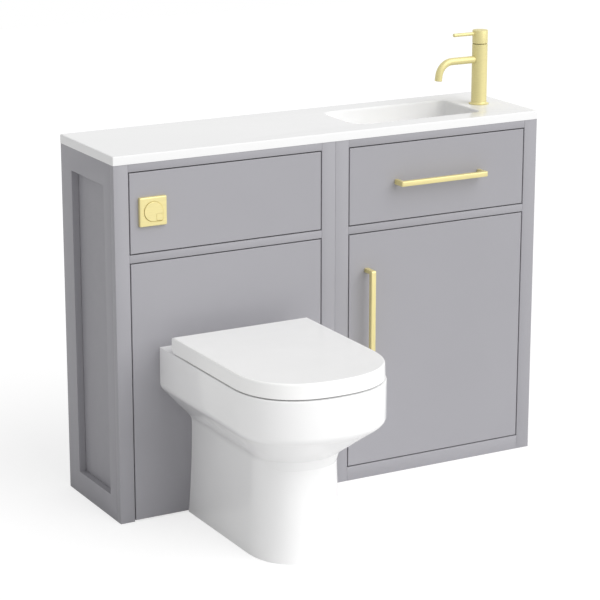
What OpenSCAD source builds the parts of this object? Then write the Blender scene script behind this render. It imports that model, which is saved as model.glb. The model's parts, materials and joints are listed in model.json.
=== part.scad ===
// Toilet and basin combination unit: two 550 mm cabinets side by side under one cast worktop.
// The left cabinet hides the cistern of a back-to-wall toilet, the right one carries the basin.
// Millimetres. The model's origin is the middle of the footprint on the floor, +Z up, front to -Y.

/* [Cabinets] */
// Width of each of the two cabinets
unit_w = 550; // [520:1:620]
// Depth of the cabinets, front face to wall
cabinet_d = 285; // [280:1:330]
// Height of the cabinets under the worktop
cabinet_h = 820; // [800:1:870]
// Thickness of the boards, doors and panels
board_t = 18; // [16:0.5:18]
// Thickness of the raised frame on the two outer ends
end_frame_t = 17; // [12:1:22]
// Shadow gap round the inset fronts
shadow_gap = 2.5; // [2.5:0.5:4]
// Height of the top and middle rails
rail_h = 18; // [16:1:24]
// Height of the rail under the door
base_rail_h = 34; // [30:1:50]
// Height of the drawer front and of the access panel
drawer_front_h = 180; // [170:1:190]
// Gap between the floor and the panel behind the toilet
panel_floor_gap = 3; // [2:1:8]
// Radius on the front edges of doors and panels
front_edge_r = 1.5; // [0.5:0.5:3]
// Front stile of the end frame, seen from the side
end_stile_front = 54; // [40:1:70]
// Rear stile of the end frame
end_stile_rear = 57; // [40:1:70]
// Top rail of the end frame
end_rail_top = 53; // [40:1:70]
// Bottom rail of the end frame
end_rail_base = 54; // [40:1:70]
// Height of the rails that fix the cabinets to the wall
wall_rail_h = 90; // [60:1:100]
// Diameter of the wall screw holes
wall_screw_d = 6; // [4:0.5:8]
// Distance of the wall screw holes from the rail ends
wall_screw_inset = 60; // [40:1:90]
// Thickness of the back panel of the basin cabinet
back_panel_t = 6; // [3:0.5:8]
// Side of the blocks that hold the fixed panels
block_size = 20; // [16:1:24]

/* [Worktop and basin] */
// Thickness of the worktop
worktop_t = 20; // [18:1:30]
// Overhang of the worktop at its front and ends
worktop_overhang = 1; // [0:0.5:4]
// Radius on the worktop's upper edges
worktop_edge_r = 3; // [1:0.5:6]
// Length of the basin opening
bowl_len = 340; // [320:1:360]
// Width of the basin opening, front to back
bowl_w = 173; // [160:1:180]
// Depth of the basin below the worktop's face
bowl_depth = 90; // [75:1:92]
// Distance from the cabinet face to the basin opening
bowl_front = 55; // [45:1:65]
// Distance from the right end of the cabinets to the basin opening
bowl_end = 122; // [115:1:135]
// Wall thickness of the basin
bowl_wall = 8; // [6:0.5:10]
// Corner radius at the steep right end of the basin
bowl_r_right = 20; // [14:1:30]
// Corner radius at the sloping left end of the basin
bowl_r_left = 35; // [25:1:45]
// Run of the sloping left end
bowl_slope = 115; // [90:1:125]
// Diameter of the waste hole
waste_hole_d = 45; // [42:0.5:48]
// Diameter of the waste tube and of the trap's pipes
waste_pipe_d = 40; // [32:1:42]
// Depth of the waste outlet below the basin's bottom
waste_drop = 100; // [95:1:115]

/* [Tap] */
// Distance of the tap from the right end of the cabinets
tap_end = 72; // [65:1:78]
// Diameter of the tap's body
tap_d = 37; // [32:1:42]
// Height of the body below the lever cap
tap_body_h = 145; // [130:1:170]
// Height of the lever cap and its joint
tap_cap_h = 33; // [28:1:40]
// Joint between the lever cap and the body
tap_joint = 1.5; // [1.5:0.1:2.5]
// Diameter of the base flange
tap_flange_d = 48; // [46:1:56]
// Diameter of the spout
spout_d = 16; // [14:0.5:20]
// Height of the spout's axis above the worktop
spout_h = 108; // [95:1:118]
// Reach of the spout from the tap's axis
spout_reach = 116; // [100:1:135]
// Bend radius of the spout
spout_bend = 32; // [26:1:40]
// Height of the spout's mouth above the worktop
spout_mouth_h = 64; // [50:1:68]
// Diameter of the lever rod
lever_d = 7.5; // [6:0.5:9]
// Reach of the lever rod from the tap's axis
lever_reach = 75; // [60:1:90]

/* [Door and drawer] */
// Hole centres of the bar handles
handle_len = 224; // [160:1:288]
// Projection of the handles
handle_out = 30; // [26:1:38]
// Side of the handles' square bar
handle_bar = 11.5; // [9:0.5:13]
// Distance of the door handle from the door's free edge
handle_edge = 46.5; // [35:0.5:60]
// Distance of the door handle's upper post from the door's top edge
handle_drop = 88.5; // [60:0.5:120]
// Distance of the hinges from the door's top and bottom edges
hinge_inset = 95; // [70:1:120]
// Depth of the drawer box
drawer_box_d = 225; // [215:1:228]
// Height of the drawer's sides
drawer_side_h = 78; // [60:1:80]
// Thickness of the drawer's sides
drawer_side_t = 12; // [10:0.5:14]
// Space that each drawer runner fills
runner_space = 12.7; // [12.5:0.1:13.5]
// Half width of the drawer's cut-out round the trap
trap_clearance = 46; // [42:1:50]

/* [Toilet] */
// Projection of the toilet from the cabinet face
pan_projection = 510; // [495:1:540]
// Height of the rim
pan_h = 400; // [395:1:420]
// Width of the rim
pan_w = 344; // [330:1:360]
// Length of the rim's straight sides
pan_straight = 345; // [330:1:350]
// Height of the rim's upright side
band_h = 82; // [70:1:90]
// Height of the waist of the foot
waist_h = 225; // [215:1:235]
// Width at the waist
waist_w = 190; // [184:1:210]
// Width of the foot on the floor
foot_w = 212; // [200:1:230]
// Projection of the foot
foot_projection = 405; // [390:1:430]
// Width of the toilet bowl
toilet_bowl_w = 236; // [220:1:246]
// Width of the lid
lid_w = 339; // [326:1:344]
// Projection of the lid
lid_projection = 501; // [490:1:505]
// Setback of the lid from the cabinet face
lid_setback = 57; // [55:1:65]
// Height of the lid's top above the rim
lid_rise = 37; // [36:1:42]
// Thickness of the lid
lid_t = 5; // [4:0.5:6]
// Thickness of the seat
seat_t = 20; // [17:1:21]
// Distance between the seat hinges
seat_hinge_span = 155; // [140:1:170]
// Height of the soil outlet
soil_z = 185; // [180:1:190]
// Diameter of the soil pipe
soil_d = 110; // [102:1:114]

/* [Cistern] */
// Width of the cistern
tank_w = 400; // [370:1:430]
// Depth of the cistern
tank_d = 125; // [115:1:135]
// Height of the cistern
tank_h = 300; // [280:1:310]
// Wall of the cistern
tank_wall = 4; // [3:0.5:5]
// Diameter of the flush pipe
flush_pipe_d = 40; // [36:1:42]
// Side of the square flush plate
plate_side = 65; // [62:1:75]
// Thickness of the flush plate
plate_t = 8; // [7:0.5:10]
// Distance of the flush plate's centre from the left end
plate_x = 90.4; // [80:0.1:140]
// Diameter of the full flush button
button_d = 44; // [42:1:48]
// Travel of the flush buttons
button_travel = 5; // [3:0.5:5]

/* [Hidden] */
$fn = 48;

front_grey = "#aeadb2";
carcass_grey = "#a6a5aa";
white = "#f4f4f2";
brushed_brass = "#dccb84";
steel_grey = "#b9bcc0";
pipe_white = "#e9e9e6";
rubber_black = "#303032";

// clearances
fit_gap = 0.3;          // between pieces of different bodies
pin_gap = 0.05;         // radial, a pin in its bore
button_gap = 0.5;       // round the flush buttons

// Cabinet levels. x is 0 at the seam between the cabinets, y is 0 at their front face.
front_y = (pan_projection - cabinet_d) / 2;
stile_w = board_t + end_frame_t;
top_z = cabinet_h + worktop_t;
top_rail_z = cabinet_h - rail_h;
drawer_top_z = top_rail_z - shadow_gap;
drawer_base_z = drawer_top_z - drawer_front_h;
mid_rail_z = drawer_base_z - shadow_gap - rail_h;
door_top_z = mid_rail_z - shadow_gap;
door_base_z = base_rail_h + shadow_gap;
wall_rail_y = cabinet_d - board_t;
wall_rail_z = cabinet_h - wall_rail_h;
back_panel_y = wall_rail_y - back_panel_t;

// Door hinges: the pin lies inside the cup, so that the inset door clears its stile
hinge_pin_edge = 24;    // from the door's edge to the pin
hinge_pin_y = board_t - 8;
hinge_pin_x = unit_w - stile_w - shadow_gap - hinge_pin_edge;
hinge_pin_r = 1.75;
hinge_zs = [door_base_z + hinge_inset, door_top_z - hinge_inset];
cup_r = 17.5;
cup_wall = 1;
cup_depth = 13;
cup_x = hinge_pin_x + 1.5;
arm_w = 10;
arm_t = 4;
arm_elbow = 15;         // where the arm turns back, from the pin
arm_reach = 29;         // from the pin to the arm's foot, clear of the door's swing
arm_foot = 40;

// Drawer
drawer_left = stile_w + runner_space;
drawer_right = unit_w - stile_w - runner_space;
drawer_floor_z = drawer_base_z + 18;
drawer_bottom_t = 6;
runner_h = 22;
runner_sheet = 1.2;
runner_lip = 9.5;
trap_front = 34;        // room in front of the trap's axis

// Basin
bowl_x1 = unit_w - bowl_end;
bowl_x0 = bowl_x1 - bowl_len;
bowl_y1 = bowl_front + bowl_w;
bowl_base_z = top_z - bowl_depth;
waste_x = bowl_x0 + bowl_len / 2;
waste_y = bowl_front + bowl_w / 2;
bowl_run = 24;          // run of the basin's steep sides
bowl_steps = 9;
waste_flange_r = 32;
waste_flange_t = 3;
waste_tube_z = bowl_base_z - 66;
waste_outlet_z = bowl_base_z - waste_drop;
plug_r = 30;
trap_r = 30;
trap_base_z = waste_outlet_z - 78;
trap_top_z = waste_outlet_z + 26;
trap_nut_h = 14;
trap_slope = 8;         // run of the cup's sloping bottom
trap_pipe_r = 16;
panel_hole_r = trap_pipe_r + 8;

// Tap
tap_x = unit_w - tap_end;
tap_y = cabinet_d / 2;
tap_r = tap_d / 2;
tap_wall = 3;
tap_hole_r = 17.5;
butt_gap = 0.2;
lever_pivot_x = 13;     // behind the tap's axis, seen from the lever
lever_pivot_z = top_z + tap_body_h + tap_joint + 4;
lever_z = top_z + tap_body_h + tap_cap_h - 8;
cap_chamfer = 1;
cap_cavity_r = tap_r - tap_wall;
spindle_r = 7;
lever_pin_r = 2;
inlet_r = 4.5;
inlet_x = -4.5;         // from the tap's axis
inlet_y = 7.5;
inlet_depth = 18;
aerator_h = 10;

// Toilet
pan_x = -unit_w / 2;
pan_half = pan_w / 2;
rim_r = 3;
front_steps = 32;
back_steps = 12;
front_square = 2.35;    // 2 is an ellipse, more is squarer
pedestal_steps = 4;
flare_straight = 0.55;  // share of the flare's height that is straight
flare_steps = 6;
bowl_rings = 9;
sump_z = 58;
bowl_centre = -330;
bowl_nose = -(pan_projection - 56);
bowl_rear = -178;
sump_half = 42;
sump_centre = -256;
sump_nose = -302;
sump_rear = -214;
hinge_y = -(lid_setback + 15);
hinge_z = pan_h + 17;
hinge_pin_radius = 4;
hinge_corner_r = 15;    // lid and seat stay inside this behind the axis
post_w = 20;
post_r = 11;
ear_w = 14;
ear_r = 12;
ear_gap = 0.4;
skirt_gap = 2;          // under the lid's skirt
seat_hole_half = 108;
seat_hole_rear = -(lid_setback + 108);
seat_hole_centre = -300;
seat_hole_front = 92 - pan_projection;
// the buffers at the front and at the back of one side
buffer_spots = [[62, 33 - lid_projection], [lid_w / 2 - 31.5, -lid_setback - 158]];
seat_buffer_r = 8;
lid_buffer_r = 6;
seat_base_z = pan_h + 4;
seat_top_z = seat_base_z + seat_t;
lid_top_z = pan_h + lid_rise;
lid_ceiling_z = lid_top_z - lid_t - 1;
lid_edge_r = 5;
lid_draft = 1;
cavity_front = -108;
cavity_top = pan_h - 18;
cavity_base = pan_h - band_h + 6;
cavity_side = 20;
foot_cavity_half = 76;
trapway_r = 26;
trapway_bend = 34;
spigot_r = 51;
socket_front = -74;     // of the soil connector
socket_back = -14;
inlet_z = (cavity_top + cavity_base) / 2;
inlet_boss_r = 28;
cone_r = flush_pipe_d / 2 + 4;

// Cistern
tank_back = wall_rail_y;
tank_front = tank_back - tank_d;
tank_y = (tank_front + tank_back) / 2;
tank_lid_t = 8;
tank_room = cabinet_h - pan_h - tank_h;    // free height between the rim and the worktop
tank_top_z = cabinet_h - 0.4 * tank_room;
tank_base_z = tank_top_z - tank_h;
flush_drop = tank_base_z - inlet_z;
flush_bend = flush_drop / 2;
tank_corner = 20;
valve_tail_r = flush_pipe_d / 2 - 2.3;
valve_tail_h = flush_drop / 3;
valve_floor_z = tank_base_z + tank_wall;
cage_r = 34;
cage_top_z = tank_top_z - 126;
valve_head_z = tank_top_z - 32;
lifter_r = 12;
lifter_travel = 20;
fill_x = pan_x + tank_w / 2 - 60;
fill_r = 12;
fill_tail_r = 10.4;
fill_tail_h = 30;
float_travel = 60;
float_z = tank_top_z - 176;
plate_cx = plate_x - unit_w;
plate_cz = (drawer_base_z + drawer_top_z) / 2 + 2;
plate_edge_r = 2.5;
button_r = button_d / 2;
half_side = 15.3;
half_gap_x = 6.5;       // from the centre to the half flush button
half_gap_z = 5.7;
button_proud = 2;
button_head = 4.8;
stem_r = 4;
housing_r = 24;
housing_d = 46;
hose_r = 3;
hose_z = (tank_top_z + tank_lid_t + cabinet_h) / 2;

// ---------- helpers ----------
function lerp(a, b, t) = a + (b - a) * t;
function unit(v) = v / norm(v);
function signed_pow(v, p) = sign(v) * pow(abs(v), p);
// 0 to 1: straight up to the share k, then rounding off until level
function flare(t, k) = let (m = 2 / (1 + k)) t < k ? m * t : 1 - m / (2 - 2 * k) * (1 - t) * (1 - t);
// 0 to 1: half straight slope, half quarter ellipse
function bowl_curve(u, straight) = straight * u + (1 - straight) * (1 - sqrt(1 - u * u));

// Axes of a frame whose z lies along d and whose x lies along a
function axes(origin, a, d) = let (b = cross(d, a))
    [[a.x, b.x, d.x, origin.x], [a.y, b.y, d.y, origin.y], [a.z, b.z, d.z, origin.z], [0, 0, 0, 1]];
function across(d) = unit(cross(abs(d.z) > 0.9 ? [1, 0, 0] : [0, 0, 1], d));

// From the seam and the front face to the model's frame
module at_front() translate([0, front_y, 0]) children();
module at_pan() translate([pan_x, front_y, 0]) children();

// A box between two opposite corners
module box(low, high) translate(low) cube(high - low);

// A round bar along an axis through a point
module bar_x(centre, r, half)
    translate(centre) rotate([0, 90, 0]) cylinder(r = r, h = 2 * half, center = true);
module bar_y(x, z, r, y0, y1) translate([x, y0, z]) rotate([-90, 0, 0]) cylinder(r = r, h = y1 - y0);
module bar_z(x, y, r, z0, z1) translate([x, y, z0]) cylinder(r = r, h = z1 - z0);

// A section (children) swept along straights with round bends at the inner points
module run(points, bend) {
    last = len(points) - 1;
    turn = function (i) acos(unit(points[i] - points[i - 1]) * unit(points[i + 1] - points[i]));
    cut = function (i) (i == 0 || i == last) ? 0 : bend * tan(turn(i) / 2);
    for (i = [0:last - 1]) {
        d = unit(points[i + 1] - points[i]);
        multmatrix(axes(points[i] + d * cut(i), across(d), d))
            linear_extrude(norm(points[i + 1] - points[i]) - cut(i) - cut(i + 1)) children();
    }
    for (i = [1:1:last - 1]) {
        d0 = unit(points[i] - points[i - 1]);
        d1 = unit(points[i + 1] - points[i]);
        n = unit(d1 - d0 * (d0 * d1));
        multmatrix(axes(points[i] - d0 * cut(i) + n * bend, -n, cross(-n, d0)))
            rotate_extrude(angle = turn(i)) translate([bend, 0]) children();
    }
}

// A closed solid through rings of equally many points, the lowest face first
module loft(rings) {
    n = len(rings[0]);
    last = len(rings) - 1;
    polyhedron(
        points = [for (ring = rings) each ring],
        faces = concat(
            [[for (i = [0:n - 1]) i]],
            [for (k = [0:last - 1], i = [0:n - 1]) let (a = k * n + i, b = k * n + (i + 1) % n)
                each [[a, a + n, b], [b, a + n, b + n]]],
            [[for (i = [0:n - 1]) last * n + (n - i) % n]]));
}

// A ring-shaped solid: the last section joins the first
module loop_loft(rings) {
    n = len(rings[0]);
    m = len(rings);
    polyhedron(
        points = [for (ring = rings) each ring],
        faces = [for (k = [0:m - 1], i = [0:n - 1])
            let (a = k * n + i, b = k * n + (i + 1) % n, c = ((k + 1) % m) * n + i,
                 d = ((k + 1) % m) * n + (i + 1) % n)
            each [[a, c, b], [b, c, d]]]);
}

// The front of an outline, from its left side round to its right side
function nose(half, shoulder, front, z) = [for (i = [0:front_steps])
    let (t = 180 + 180 * i / front_steps)
    [half * signed_pow(cos(t), 2 / front_square),
     shoulder + (shoulder - front) * signed_pow(sin(t), 2 / front_square), z]];
// A D: straight back and sides, rounded front
function d_ring(half, back, shoulder, front, z) = concat(
    nose(half, shoulder, front, z),
    [for (i = [0:back_steps]) [half * (1 - 2 * i / back_steps), back, z]]);
// An egg: the same front with a rounded back
function egg_ring(half, rear, centre, front, z) = concat(
    nose(half, centre, front, z),
    [for (i = [0:back_steps]) let (t = lerp(14, 166, i / back_steps))
        [half * cos(t), centre + (rear - centre) * sin(t), z]]);

// A board whose front edges are rounded, lying from y = 0 back to y = t
module fronted(x0, x1, z0, z1, t = board_t, r = front_edge_r) {
    intersection() {
        translate([0, 0, z0]) linear_extrude(z1 - z0) eased(x0, x1, t, r);
        multmatrix([[0, 0, 1, x0 - 1], [0, 1, 0, 0], [1, 0, 0, 0], [0, 0, 0, 1]])
            linear_extrude(x1 - x0 + 2) eased(z0, z1, t, r);
    }
}
// Its section: a rectangle whose two corners at y = 0 are round
module eased(a, b, t, r) {
    translate([a, r]) square([b - a, t - r]);
    translate([a + r, 0]) square([b - a - 2 * r, t]);
    for (x = [a + r, b - r]) translate([x, r]) circle(r);
}

module rounded_square(side, r) {
    square([side - 2 * r, side], center = true);
    square([side, side - 2 * r], center = true);
    for (x = [-1, 1], y = [-1, 1]) translate([x, y] * (side / 2 - r)) circle(r);
}
module rounded_rect(w, d, r) {
    square([w - 2 * r, d], center = true);
    square([w, d - 2 * r], center = true);
    for (x = [-1, 1], y = [-1, 1]) translate([x * (w / 2 - r), y * (d / 2 - r)]) circle(r);
}

// ---------- cabinets ----------
module end_board() box([end_frame_t, board_t, 0], [stile_w, cabinet_d, cabinet_h]);
// The raised frame stands off the board round a sunk centre
module end_frame() difference() {
    box([0, board_t, 0], [end_frame_t, cabinet_d, cabinet_h]);
    box([-1, end_stile_front, end_rail_base],
        [end_frame_t + 1, cabinet_d - end_stile_rear, cabinet_h - end_rail_top]);
}
module stiles() for (x = [0, unit_w - stile_w]) box([x, 0, 0], [x + stile_w, board_t, cabinet_h]);
module rail(z, h) box([stile_w, 0, z], [unit_w - stile_w, board_t, z + h]);
module on_left() at_front() translate([-unit_w, 0, 0]) children();
module on_right() at_front() children();
module mirrored_end() on_right() translate([unit_w, 0, 0]) mirror([1, 0, 0]) children();

module wc_side_board() color(carcass_grey) on_left() end_board();
module wc_end_frame() color(front_grey) on_left() end_frame();
module basin_side_board() color(carcass_grey) mirrored_end() end_board();
module basin_end_frame() color(front_grey) mirrored_end() end_frame();
module inner_boards() color(carcass_grey) at_front()
    for (x = [-board_t, 0]) box([x, board_t, 0], [x + board_t, cabinet_d, cabinet_h]);

// Three rails at the back, screwed to the wall: one high in each cabinet, one behind the cistern's foot
module wall_rails() color(carcass_grey) at_front() {
    wall_rail(-unit_w + stile_w, -board_t, wall_rail_z);
    wall_rail(-unit_w + stile_w, -board_t, tank_base_z);
    wall_rail(board_t, unit_w - stile_w, wall_rail_z);
}
module wall_rail(x0, x1, z) difference() {
    box([x0, wall_rail_y, z], [x1, cabinet_d, z + wall_rail_h]);
    for (x = [x0 + wall_screw_inset, x1 - wall_screw_inset])
        bar_y(x, z + wall_rail_h / 2, wall_screw_d / 2, wall_rail_y - 1, cabinet_d + 1);
}

module wc_stiles() color(front_grey) on_left() stiles();
module basin_stiles() color(front_grey) on_right() stiles();
module wc_rails() color(front_grey) on_left() {
    rail(top_rail_z, rail_h);
    rail(mid_rail_z, rail_h);
}
module basin_rails() color(front_grey) on_right() {
    rail(top_rail_z, rail_h);
    rail(mid_rail_z, rail_h);
    rail(0, base_rail_h);
}

module front(z0, z1) fronted(stile_w + shadow_gap, unit_w - stile_w - shadow_gap, z0, z1);
module access_panel() color(front_grey) difference() {
    on_left() front(drawer_base_z, drawer_top_z);
    at_front() bar_y(plate_cx, plate_cz, housing_r + fit_gap, -1, board_t + 1);
}
module wc_lower_panel() color(front_grey) difference() {
    on_left() front(panel_floor_gap, door_top_z);
    at_pan() bar_y(0, soil_z, soil_d / 2 + 5, -1, board_t + 1);
    at_pan() bar_y(0, inlet_z, flush_pipe_d / 2 + 8, -1, board_t + 1);
}
// Blocks behind both fixed panels, glued to the cabinet's sides; the panels are screwed to them
module panel_blocks() color(carcass_grey) on_left()
    for (z = [drawer_base_z + 10, drawer_top_z - 10 - block_size, 60, door_top_z - 60]) {
        box([stile_w, board_t, z], [stile_w + block_size, board_t + block_size, z + block_size]);
        box([unit_w - stile_w - block_size, board_t, z],
            [unit_w - board_t, board_t + block_size, z + block_size]);
    }

module basin_base_board() color(carcass_grey) on_right()
    box([board_t, board_t, base_rail_h - board_t], [unit_w - stile_w, back_panel_y, base_rail_h]);
module basin_back_panel() color(carcass_grey) on_right() difference() {
    box([board_t, back_panel_y, base_rail_h - board_t], [unit_w - stile_w, wall_rail_y, cabinet_h]);
    bar_y(waste_x, waste_outlet_z, panel_hole_r, back_panel_y - 1, wall_rail_y + 1);
}

// ---------- door ----------
module door() color(front_grey) difference() {
    on_right() front(door_base_z, door_top_z);
    at_front() for (z = hinge_zs) bar_y(cup_x, z, cup_r + pin_gap, board_t - cup_depth, board_t + 1);
}

// A square bar bent back at both ends, along x, seated on y = 0
module bar_handle() {
    out = handle_out - handle_bar / 2;
    run([[-handle_len / 2, 0, 0], [-handle_len / 2, -out, 0], [handle_len / 2, -out, 0],
         [handle_len / 2, 0, 0]], handle_bar / 2 + 2) rounded_square(handle_bar, 1.5);
}
module door_handle() color(brushed_brass) on_right()
    translate([stile_w + shadow_gap + handle_edge, 0, door_top_z - handle_drop - handle_len / 2])
    rotate([0, 90, 0]) bar_handle();
module drawer_handle() color(brushed_brass) on_right()
    translate([unit_w / 2, 0, (drawer_base_z + drawer_top_z) / 2]) bar_handle();

// The cup is open to the back, and its pin runs through both sides
module hinge_cups() color(steel_grey) at_front() for (z = hinge_zs) difference() {
    bar_y(cup_x, z, cup_r, board_t - cup_depth, board_t);
    bar_y(cup_x, z, cup_r - cup_wall, board_t - cup_depth + cup_wall, board_t + 1);
    bar_z(hinge_pin_x, hinge_pin_y, hinge_pin_r, z - cup_r - 1, z + cup_r + 1);
}
module hinge_pins() color(steel_grey) at_front() for (z = hinge_zs) let (half = cup_r - cup_wall)
    bar_z(hinge_pin_x, hinge_pin_y, hinge_pin_r, z - half, z + half);
// A gooseneck arm: an eye on the pin, a neck out of the cup, a foot on the cabinet's side
module hinge_arms() color(steel_grey) at_front() for (z = hinge_zs)
    translate([hinge_pin_x, hinge_pin_y, z - arm_w / 2]) difference() {
        linear_extrude(arm_w) {
            circle(3.5);
            polygon([[-1.4, -1.4], [1.4, 1.4], [-arm_elbow + 2, arm_elbow + 2.8],
                     [-arm_elbow + 2, arm_reach], [-arm_elbow - 2, arm_reach],
                     [-arm_elbow - 2, arm_elbow + 1.2]]);
            translate([-arm_elbow - 2, arm_reach])
                square([hinge_pin_edge + shadow_gap + arm_elbow + 2, arm_t]);
            translate([hinge_pin_edge + shadow_gap - arm_t, arm_reach]) square([arm_t, arm_foot]);
        }
        translate([0, 0, -1]) cylinder(r = hinge_pin_r + pin_gap, h = arm_w + 2);
    }

// ---------- drawer ----------
module drawer_front() color(front_grey) on_right() front(drawer_base_z, drawer_top_z);
// Plan of the drawer, cut out from the back round the trap
module drawer_plan(inset) difference() {
    translate([drawer_left + inset, board_t + inset])
        square([drawer_right - drawer_left - 2 * inset, drawer_box_d - 2 * inset]);
    half = trap_clearance + inset;
    front = waste_y - trap_front - trap_clearance / 2 - inset;
    translate([waste_x - half, front + half / 2]) square([2 * half, drawer_box_d + board_t]);
    translate([waste_x - half / 2, front]) square([half, half]);
    for (s = [-1, 1]) translate([waste_x + s * half / 2, front + half / 2]) circle(half / 2);
}
module drawer_box() color(white) on_right() difference() {
    translate([0, 0, drawer_floor_z]) linear_extrude(drawer_side_h) drawer_plan(0);
    translate([0, 0, drawer_floor_z - 1]) linear_extrude(drawer_side_h + 2) drawer_plan(drawer_side_t);
}
module drawer_base() color(white) on_right()
    translate([0, 0, drawer_floor_z - drawer_bottom_t]) linear_extrude(drawer_bottom_t) drawer_plan(0);

// Packs the left runner out to the line of the stile
module runner_packer() color(carcass_grey) on_right()
    box([board_t, board_t, drawer_floor_z],
        [stile_w, board_t + drawer_box_d, drawer_floor_z + runner_h]);
// Section of the fixed runner, a channel open towards the drawer; x = 0 is the cabinet side
module runner_channel() difference() {
    square([runner_lip, runner_h]);
    translate([runner_sheet, runner_sheet]) square([runner_lip, runner_h - 2 * runner_sheet]);
}
// Section of the sliding runner: a sheet on the drawer and a bar in the channel
module runner_slide() {
    translate([runner_space - runner_sheet, 0]) square([runner_sheet, runner_h]);
    translate([runner_sheet + fit_gap, runner_sheet + fit_gap])
        square([runner_space - 2 * runner_sheet - fit_gap, runner_h - 2 * (runner_sheet + fit_gap)]);
}
module at_runners() on_right() for (side = [0, 1])
    translate([side ? unit_w - stile_w : stile_w, board_t, drawer_floor_z])
        mirror([side, 0, 0]) multmatrix([[1, 0, 0, 0], [0, 0, 1, 0], [0, 1, 0, 0], [0, 0, 0, 1]]) children();
module fixed_runners() color(steel_grey) at_runners() linear_extrude(drawer_box_d) runner_channel();
module sliding_runners() color(steel_grey) at_runners() linear_extrude(drawer_box_d) runner_slide();

// ---------- worktop and basin ----------
function arc(cx, cy, r, a) = [for (i = [0:6]) [cx + r * cos(a + 15 * i), cy + r * sin(a + 15 * i)]];
function raised(ring, z) = [for (p = ring) [p.x, p.y, z]];
// Outline of the basin at depth share u, grown outwards
function basin_ring(u, grow) =
    let (x0 = bowl_x0 + bowl_slope * bowl_curve(u, 0.6) - grow,
         x1 = bowl_x1 - bowl_run * bowl_curve(u, 0.3) + grow,
         y0 = bowl_front + bowl_run * bowl_curve(u, 0.3) - grow,
         y1 = bowl_y1 - bowl_run * bowl_curve(u, 0.3) + grow,
         rl = bowl_r_left + grow, rr = bowl_r_right + grow)
    raised(concat(arc(x1 - rr, y1 - rr, rr, 0), arc(x0 + rl, y1 - rl, rl, 90),
                  arc(x0 + rl, y0 + rl, rl, 180), arc(x1 - rr, y0 + rr, rr, 270)),
           top_z - bowl_depth * u - grow);
function depth_share(i) = sin(90 * i / bowl_steps);
module slab() let (low = -unit_w - worktop_overhang, high = unit_w + worktop_overhang) intersection() {
    multmatrix([[1, 0, 0, 0], [0, 0, -1, cabinet_d], [0, -1, 0, top_z], [0, 0, 0, 1]])
        linear_extrude(cabinet_d + worktop_overhang) eased(low, high, worktop_t, worktop_edge_r);
    multmatrix([[0, 0, 1, low - 1], [1, 0, 0, 0], [0, -1, 0, top_z], [0, 0, 0, 1]])
        linear_extrude(high - low + 2) union() {
            eased(-worktop_overhang, cabinet_d, worktop_t, worktop_edge_r);
            translate([cabinet_d / 2, 0]) square([cabinet_d / 2, worktop_t]);
        }
}
module basin_worktop() color(white) at_front() difference() {
    union() {
        slab();
        loft([for (i = [bowl_steps:-1:0]) basin_ring(depth_share(i), bowl_wall)]);
    }
    loft(concat([for (i = [bowl_steps:-1:1]) basin_ring(depth_share(i), 0)],
                [raised(basin_ring(0, 0), top_z + 1)]));
    bar_z(waste_x, waste_y, waste_hole_d / 2, bowl_base_z - bowl_wall - 1, bowl_base_z + 1);
    bar_z(tap_x, tap_y, tap_hole_r, cabinet_h - 1, top_z + 1);
    // butt joint of its two lengths, over the cabinets' seam
    box([-butt_gap / 2, -worktop_overhang - 1, cabinet_h - 1], [butt_gap / 2, cabinet_d + 1, top_z + 1]);
}

// Flanged tube of the waste, with a bar across it that guides the plug's stem
module waste_flange() color(steel_grey) at_front() translate([waste_x, waste_y, 0]) {
    difference() {
        union() {
            bar_z(0, 0, waste_flange_r, bowl_base_z, bowl_base_z + waste_flange_t);
            bar_z(0, 0, waste_pipe_d / 2, waste_tube_z, bowl_base_z + waste_flange_t);
        }
        bar_z(0, 0, waste_pipe_d / 2 - 2, waste_tube_z - 1, bowl_base_z + waste_flange_t + 1);
    }
    difference() {
        union() {
            box([-waste_pipe_d / 2 + 1, -3, waste_tube_z + 20], [waste_pipe_d / 2 - 1, 3, waste_tube_z + 26]);
            bar_z(0, 0, 7, waste_tube_z + 12, waste_tube_z + 34);
        }
        bar_z(0, 0, 4 + pin_gap, waste_tube_z + 11, waste_tube_z + 35);
    }
}
module waste_backnut() color(steel_grey) at_front() translate([waste_x, waste_y, 0]) difference() {
    bar_z(0, 0, waste_flange_r, bowl_base_z - bowl_wall - 8, bowl_base_z - bowl_wall);
    bar_z(0, 0, waste_pipe_d / 2 + fit_gap, bowl_base_z - bowl_wall - 9, bowl_base_z);
}
// Domed plug with a stem; pressing it lets it rise
module waste_plug() color(brushed_brass) at_front() translate([waste_x, waste_y, 0]) {
    plug_z = bowl_base_z + waste_flange_t + fit_gap;
    translate([0, 0, plug_z]) rotate_extrude()
        polygon(concat([[0, 0], [plug_r, 0], [plug_r, 2]],
                       [for (a = [10:10:90]) [plug_r * cos(a), 2 + 3 * sin(a)]]));
    bar_z(0, 0, 4, waste_tube_z + 14, plug_z + 1);
}
module trap_shell(inner) rotate_extrude() polygon([
    [0, trap_base_z + inner], [trap_r - trap_slope - inner / 2, trap_base_z + inner],
    [trap_r - inner, trap_base_z + 10 + inner / 2], [trap_r - inner, trap_top_z - 6 - inner / 2],
    [waste_pipe_d / 2 + 3 - inner / 2, trap_top_z - inner], [0, trap_top_z - inner]]);
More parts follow.
